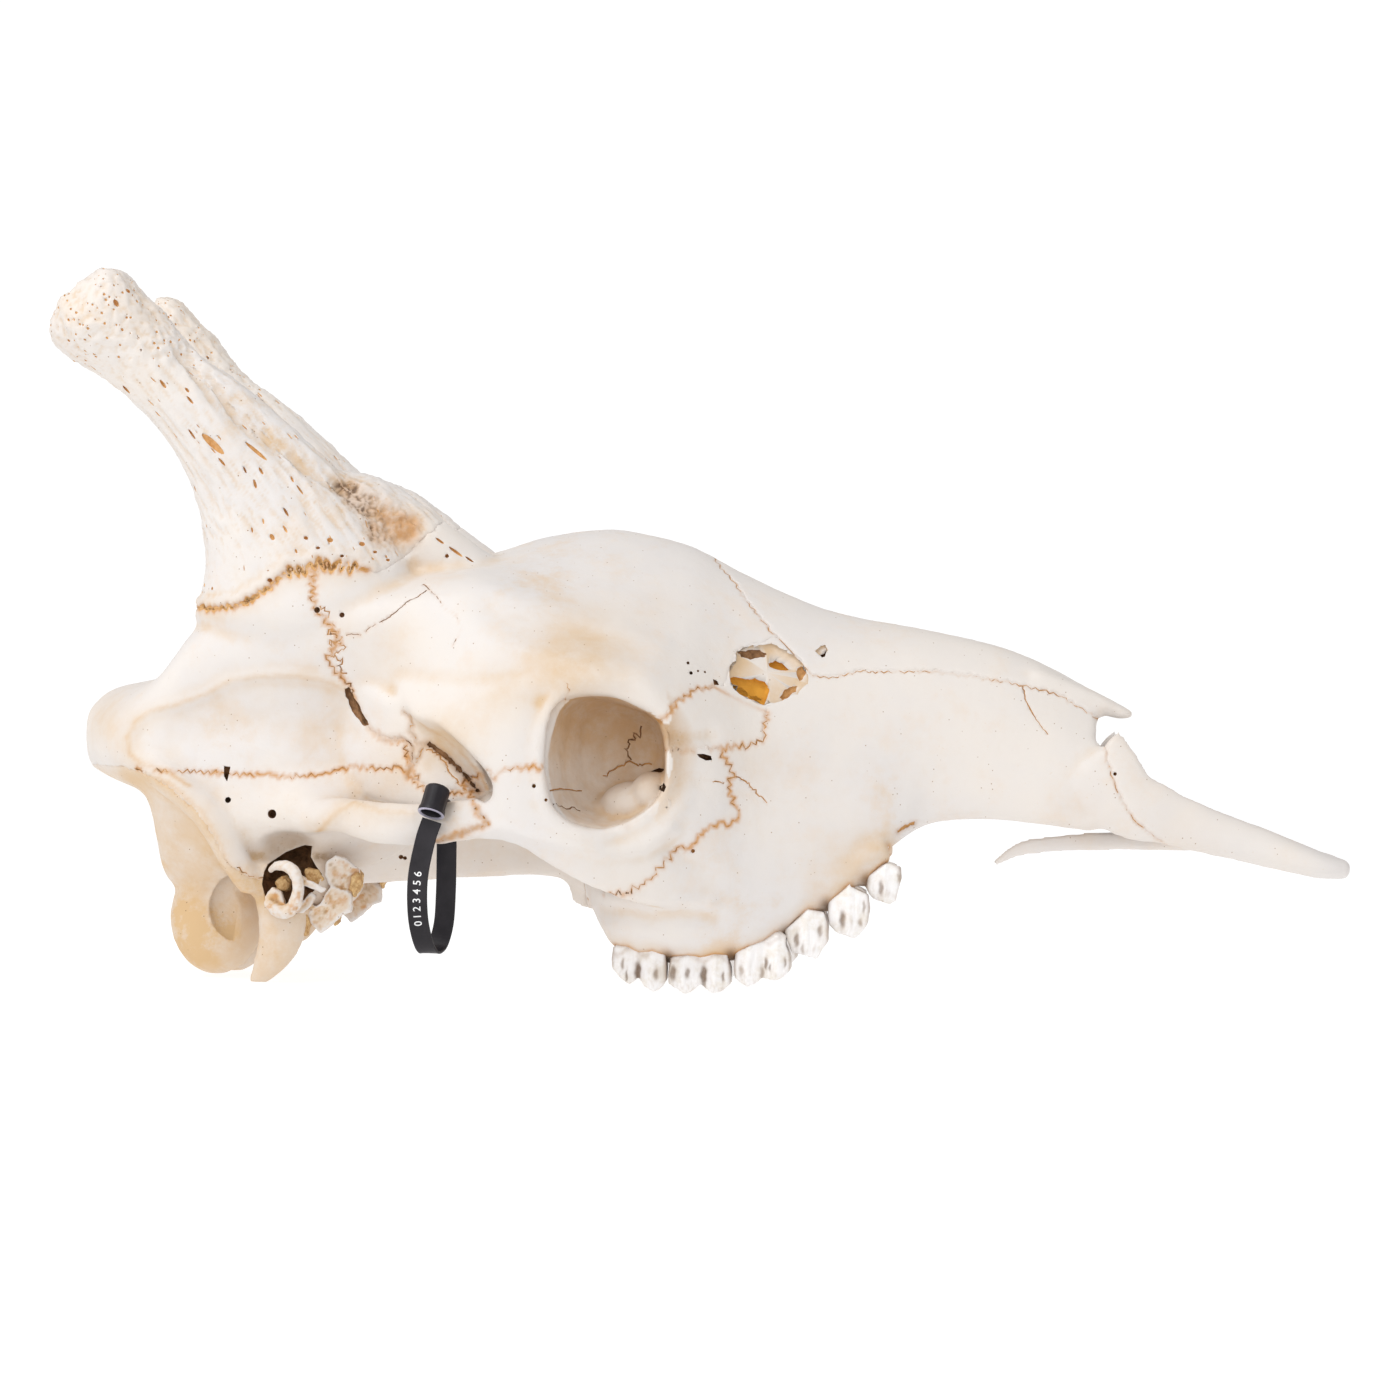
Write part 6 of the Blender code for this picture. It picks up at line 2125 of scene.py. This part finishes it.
def finishBone(name, bone):
    kind = name.replace("Right", "").replace("Left", "")
    spec, horn = bonePieces[kind], kind == "ossicone"
    if kind == "premaxilla":
        blade = bentBar("blade", muzzleForm["blade"])
        combine(bone, "UNION", blade)
        discard(blade)
    evenOut(bone, spec["cell"] * coarser, 2)
    keepMain(bone)
    if horn:
        roughen(bone, (slowWaves, 1.4), (smallWaves, 0.5), (crumbs, 0.25))
        hornRelief(bone)
    else:
        roughen(bone, (slowWaves, 1.0), (smallWaves, 0.32))
    shapeSurface(bone, kind)
    giveOnly(bone, spec["material"])
    low, high = Vector(bone.bound_box[0]), Vector(bone.bound_box[6])
    own = hornPits(bone) if horn else []
    cutMarks(bone, [c for c in grooveCutters + holeCutters if overlaps(low, high, c)] + own)
    discard(*own)
    paintSurface(bone, spec.get("warmBase", 0.0))
    bone.data.shade_smooth()
    bone.name = name + "Bone"
    pieces = {name: bone}
    if name != kind:
        pieces[kind + "Left"] = mirrorCopy(bone, kind + "LeftBone")
    for ownName, piece in pieces.items():
        showPiece(piece, nodeName(kind), nodeName(ownName))
    print("bone", kind, len(bone.data.polygons), "faces, at", round(time.time() - began, 1))


for name, bone in bones.items():
    finishBone(name, bone)


def placeSocketWall():
    # inner wall of the eye socket, one shell with the lumpy floor and the shelf in it
    steps = [(scale, depth, max(0.0, (depth - 14) / 10)) for scale, depth in orbitForm["wallSteps"]]
    outer = loft("socketWallRight", [
        orbitLoop(s + (0.14 if d < 20 else 0.05), d + (1.2 if d > 40 else 0), (k, k)) for s, d, k in steps])
    inner = loft("inner", [orbitLoop(s - 0.012, d - (1.2 if d > 12 else 4), (k, k)) for s, d, k in steps])
    lumps = [roundBody("floorLump", reach(u, v, y), radii) for u, v, y, radii in orbitForm["socketFloor"]]
    lumps.append(pixelSolid("shelf", orbitForm["shelf"], 96, 62))
    keep = duplicate(outer, "keep")
    combine(outer, "DIFFERENCE", inner)
    combine(outer, "UNION", lumps)
    combine(outer, "INTERSECT", keep)
    discard(inner, keep, *lumps)
    evenOut(outer, orbitForm["wallCell"] * coarser, 5)
    roughen(outer, (slowWaves, 2.2), (smallWaves, 0.8), (crumbs, 0.3))
    keepMain(outer)
    giveOnly(outer, paleBone)
    wallTree = surfaceTree(outer)
    cutters = [c for c in holeCutters if c.name.startswith("socketHole")]
    for name, spec in crackPaths.items():
        if name.startswith("socket"):
            cutters.append(grow(wireObject("wall" + name, [traceCrack(name, spec, wallTree)]), grooves,
                                Radius=spec["radius"] * mm, Uneven=0.4, Seed=2.0,
                                Paint=crackStainAndShadePaint if spec.get("dark") else suturePaint))
    cutMarks(outer, cutters)
    paintSurface(outer)
    outer.data.shade_smooth()
    for piece in (mirrorCopy(outer, "socketWallLeft"), outer):
        showPiece(piece, "frontal", "frontal")


placeSocketWall()
print("socket walls, at", round(time.time() - began, 1))


def placeEarBones():
    for right in earBones():
        mesh = right.data
        dip = hollowness(right, 24)
        patch = sample(lambda p: noise.noise(p / 4.5), toRaw(readPoints(mesh)))
        # brown and tan gather in the hollows, partly stain and partly painted shade; the shade attribute there is
        # painted shade
        setAttribute(mesh, "rust", np.clip(dip * 2.4 + patch * 1.6 + 0.1, 0, 0.85))
        setAttribute(mesh, "shade", np.clip(dip * 1.3 - 0.1 - patch * 0.3, 0, 0.6))
        setAttribute(mesh, "warm", np.clip(0.62 + dip * 1.8, 0, 0.95))
        mesh.shade_smooth()
        left = mirrorCopy(right, right.name.replace("Right", "Left"))
        showPiece(right, "temporal", "temporal_right")
        showPiece(left, "temporal", "temporal_left")


placeEarBones()


# Loop tag: strap over the cheek arch and its barrel lock

tagForm = {
    "width": 10.0, "thickness": 1.6, "edge": 0.45, "lockRadius": 6.2, "lockLength": 15.0,
    "lockCentre": (-123, -115.9, 98), "rimRadius": 6.9, "tilt": math.radians(-24), "lean": math.radians(11),
    "mouthRadius": 5.2, "digits": "0123456", "digitSize": 5.4, "firstDigit": 3.32, "digitStep": 0.235,
    "route": [
        (-124, -116.5, 88.2), (-127, -117.5, 78), (-130, -118.5, 60), (-130, -116, 42), (-128, -111, 29),
        (-125.5, -104, 22.5), (-122.5, -95, 25), (-120, -90.5, 36), (-119.5, -89, 52),
        (-119.5, -90, 68), (-119.5, -92, 80), (-120, -94, 90), (-122, -98, 96.5), (-123, -104, 98),
        (-123, -112.2, 98),
    ],
}


def plasticMaterial(name, colour, roughness):
    material, tree, shader, where = newMaterial(name)
    cloud = noiseField(tree, where, 55.0, 4.0, 0.6)
    pale = tuple(min(1.0, c * 1.9 + 0.012) for c in colour)
    feed(tree, shader, {
        "Base Color": blendColour(tree, remap(tree, cloud, 0.35, 0.75, 0.0, 0.6), colour, pale),
        "Roughness": remap(tree, cloud, 0.3, 0.7, roughness - 0.06, roughness + 0.12),
        "Specular IOR Level": 0.28,
        "Normal": surfaceBump(tree, noiseField(tree, where, 900.0, 4.0, 0.7), 0.1, 0.0003),
    })
    return material


blackPlastic = plasticMaterial("blackPlastic", (0.012, 0.010, 0.013), 0.40)
innerPlastic = plasticMaterial("lilacPlastic", (0.330, 0.310, 0.380), 0.4)
digitInk = plasticMaterial("digitInk", (0.780, 0.780, 0.790), 0.5)


def tagLift():
    # from the planned lock to where its CAD node stands
    _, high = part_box("tag_lock")
    return high[2] / mm - tagForm["lockCentre"][2] - tagForm["lockLength"] / 2


def strapFrame(t):
    lift = tagLift()
    route = tagForm["route"]
    here, ahead = Vector(along(route, t)), Vector(along(route, min(t + 0.05, len(route) - 1.001)))
    back = Vector(along(route, max(t - 0.05, 0)))
    way = (ahead - back).normalized()
    across = (Vector((1, 0, 0)) - way * way.x).normalized()
    return here + Vector((0, 0, lift)), across, way.cross(across), way


def makeStrap():
    steps = 12 * (len(tagForm["route"]) - 1)
    w, h, e = tagForm["width"] / 2, tagForm["thickness"] / 2, tagForm["edge"]
    section = [
        (-w + e, -h), (0, -h), (w - e, -h), (w, -h + e), (w, h - e), (w - e, h), (w * 0.8, h * 0.86),
        (0, h * 0.86), (-w * 0.8, h * 0.86), (-w + e, h), (-w, h - e), (-w, -h + e),
    ]
    rings = []
    for k in range(steps + 1):
        spot, across, normal, _ = strapFrame((len(tagForm["route"]) - 1) * min(k / steps, 0.9999))
        rings.append([tuple(spot + across * a + normal * b) for a, b in section])
    return loft("tagStrap", rings, blackPlastic)


def makeLock():
    x, y, z = tagForm["lockCentre"]
    lift = tagLift()
    r, length, rim, mouth = (tagForm[key] for key in ("lockRadius", "lockLength", "rimRadius", "mouthRadius"))
    profile = [
        (0.0, 0.5), (r * 0.72, 0.5), (r * 0.9, 0.46), (r, 0.38), (r, -0.28), (rim - 0.2, -0.33),
        (rim - 0.1, -0.47), (rim - 0.5, -0.5), (mouth + 0.4, -0.5), (mouth, -0.46), (mouth, 0.1), (0.0, 0.14),
    ]
    segments = 56
    tilt = Matrix.Rotation(tagForm["tilt"], 3, "X") @ Matrix.Rotation(tagForm["lean"], 3, "Y")
    verts, faces = [], []
    for radius, height in profile:
        for k in range(segments):
            a = 2 * math.pi * k / segments
            rib = 0.12 * (1 if radius == r and k % 4 == 0 else 0)
            turned = tilt @ Vector(((radius + rib) * math.cos(a), (radius + rib) * math.sin(a), height * length))
            verts.append((x + turned.x, y + turned.y, z + lift + turned.z))
    for row in range(len(profile) - 1):
        for k in range(segments):
            n = (k + 1) % segments
            faces.append((row * segments + k, row * segments + n, (row + 1) * segments + n,
                          (row + 1) * segments + k))
    lock = newObject("tagLock", verts, faces, blackPlastic)

    def closeUp(bm):
        bmesh.ops.remove_doubles(bm, verts=bm.verts, dist=1e-7)
        bmesh.ops.recalc_face_normals(bm, faces=bm.faces)

    editMesh(lock.data, closeUp)
    lock.data.materials.append(innerPlastic)
    for face in lock.data.polygons:
        middle = tilt.inverted() @ (face.center / mm - Vector((x + forwardShift, y, z + lift)))
        if math.hypot(middle.x, middle.y) < rim - 0.2 and middle.z < -0.44 * length:
            face.material_index = 1
    return lock


def makeDigits():
    form, joined = tagForm, bpy.data.meshes.new("tagDigits")
    for number, figure in enumerate(form["digits"]):
        curve = bpy.data.curves.new("digit", "FONT")
        curve.body = figure
        curve.size = form["digitSize"] * mm
        curve.extrude = 0.08 * mm
        curve.offset = 0.03 * mm
        curve.align_x = curve.align_y = "CENTER"
        text = bpy.data.objects.new("digit", curve)
        workshop.objects.link(text)
        mesh = bpy.data.meshes.new_from_object(text.evaluated_get(bpy.context.evaluated_depsgraph_get()))
        discard(text)
        spot, across, normal, way = strapFrame(form["firstDigit"] - form["digitStep"] * number)
        out, up = normal if normal.y < 0 else -normal, -way
        # digits read upwards along the strap
        turn = Matrix((up, -across if up.cross(-across).dot(out) > 0 else across, out)).transposed().to_4x4()
        middle = spot + out * (form["thickness"] / 2 + 0.03)
        mesh.transform(Matrix.Translation(toWorld(middle)) @ turn)
        editMesh(joined, lambda bm: bm.from_mesh(mesh))
    joined.materials.clear()
    return linkMesh("tagDigits", joined, digitInk)


strap, lock = makeStrap(), makeLock()
for part, node in ((strap, "tag_strap"), (lock, "tag_lock")):
    part.data.shade_smooth()
    part.data.set_sharp_from_angle(angle=math.radians(35))
    showPiece(part, node, node)
showPiece(makeDigits(), "tag_strap")
print("tag ready")


# Floor, light

def makeStage():
    mesh = bpy.data.meshes.new("floor")
    editMesh(mesh, lambda bm: bmesh.ops.create_grid(bm, x_segments=1, y_segments=1, size=12.0), fresh=True)
    material, tree, shader, _ = newMaterial("paleFloor")
    feed(tree, shader, {
        "Base Color": (0.34, 0.34, 0.34), "Roughness": 0.9, "Emission Color": (1.0, 1.0, 1.0),
        "Emission Strength": 0.8,
    })
    mesh.materials.append(material)
    floor = bpy.data.objects.new("floor", mesh)
    bpy.context.scene.collection.objects.link(floor)
    floor.location.z = -0.0005  # just under the skull's own lowest points


def areaLight(name, spot, target, size, power):
    data = bpy.data.lights.new(name, "AREA")
    data.shape = "RECTANGLE"
    data.size, data.size_y = size
    data.energy = power
    light = bpy.data.objects.new(name, data)
    light.location = spot
    light.rotation_euler = (Vector(target) - Vector(spot)).to_track_quat("-Z", "Y").to_euler()
    bpy.context.scene.collection.objects.link(light)


roomLight = {"horizon": 1.05, "above": 0.56, "top": 17.5, "front": 8.0}


def makeLight():
    # white along the horizon, dimmer overhead, with two soft boxes from the upper left
    world = bpy.data.worlds.new("softRoom")
    world.use_nodes = True
    tree = world.node_tree
    way = addNode(tree, "ShaderNodeTexCoord").outputs["Generated"]
    height = addNode(tree, "ShaderNodeSeparateXYZ", {0: way}).outputs["Z"]
    strength = remap(tree, height, 0.22, 0.36, roomLight["horizon"], roomLight["above"])
    feed(tree, tree.nodes["Background"], {"Color": (1.0, 1.0, 1.0), "Strength": strength})
    bpy.context.scene.world = world
    areaLight("topBox", (-0.8, -0.9, 1.8), (0, 0, 0.15), (1.1, 0.8), roomLight["top"])
    areaLight("frontBox", (-1.1, -2.1, 1.1), (0, 0, 0.15), (1.1, 0.8), roomLight["front"])


makeStage()
makeLight()
bpy.context.scene.view_settings.view_transform = "Standard"
bpy.context.scene.view_settings.look = "None"
print("stage and light ready", round(time.time() - began, 1))

discard(*workshop.objects)
bpy.data.collections.remove(workshop)
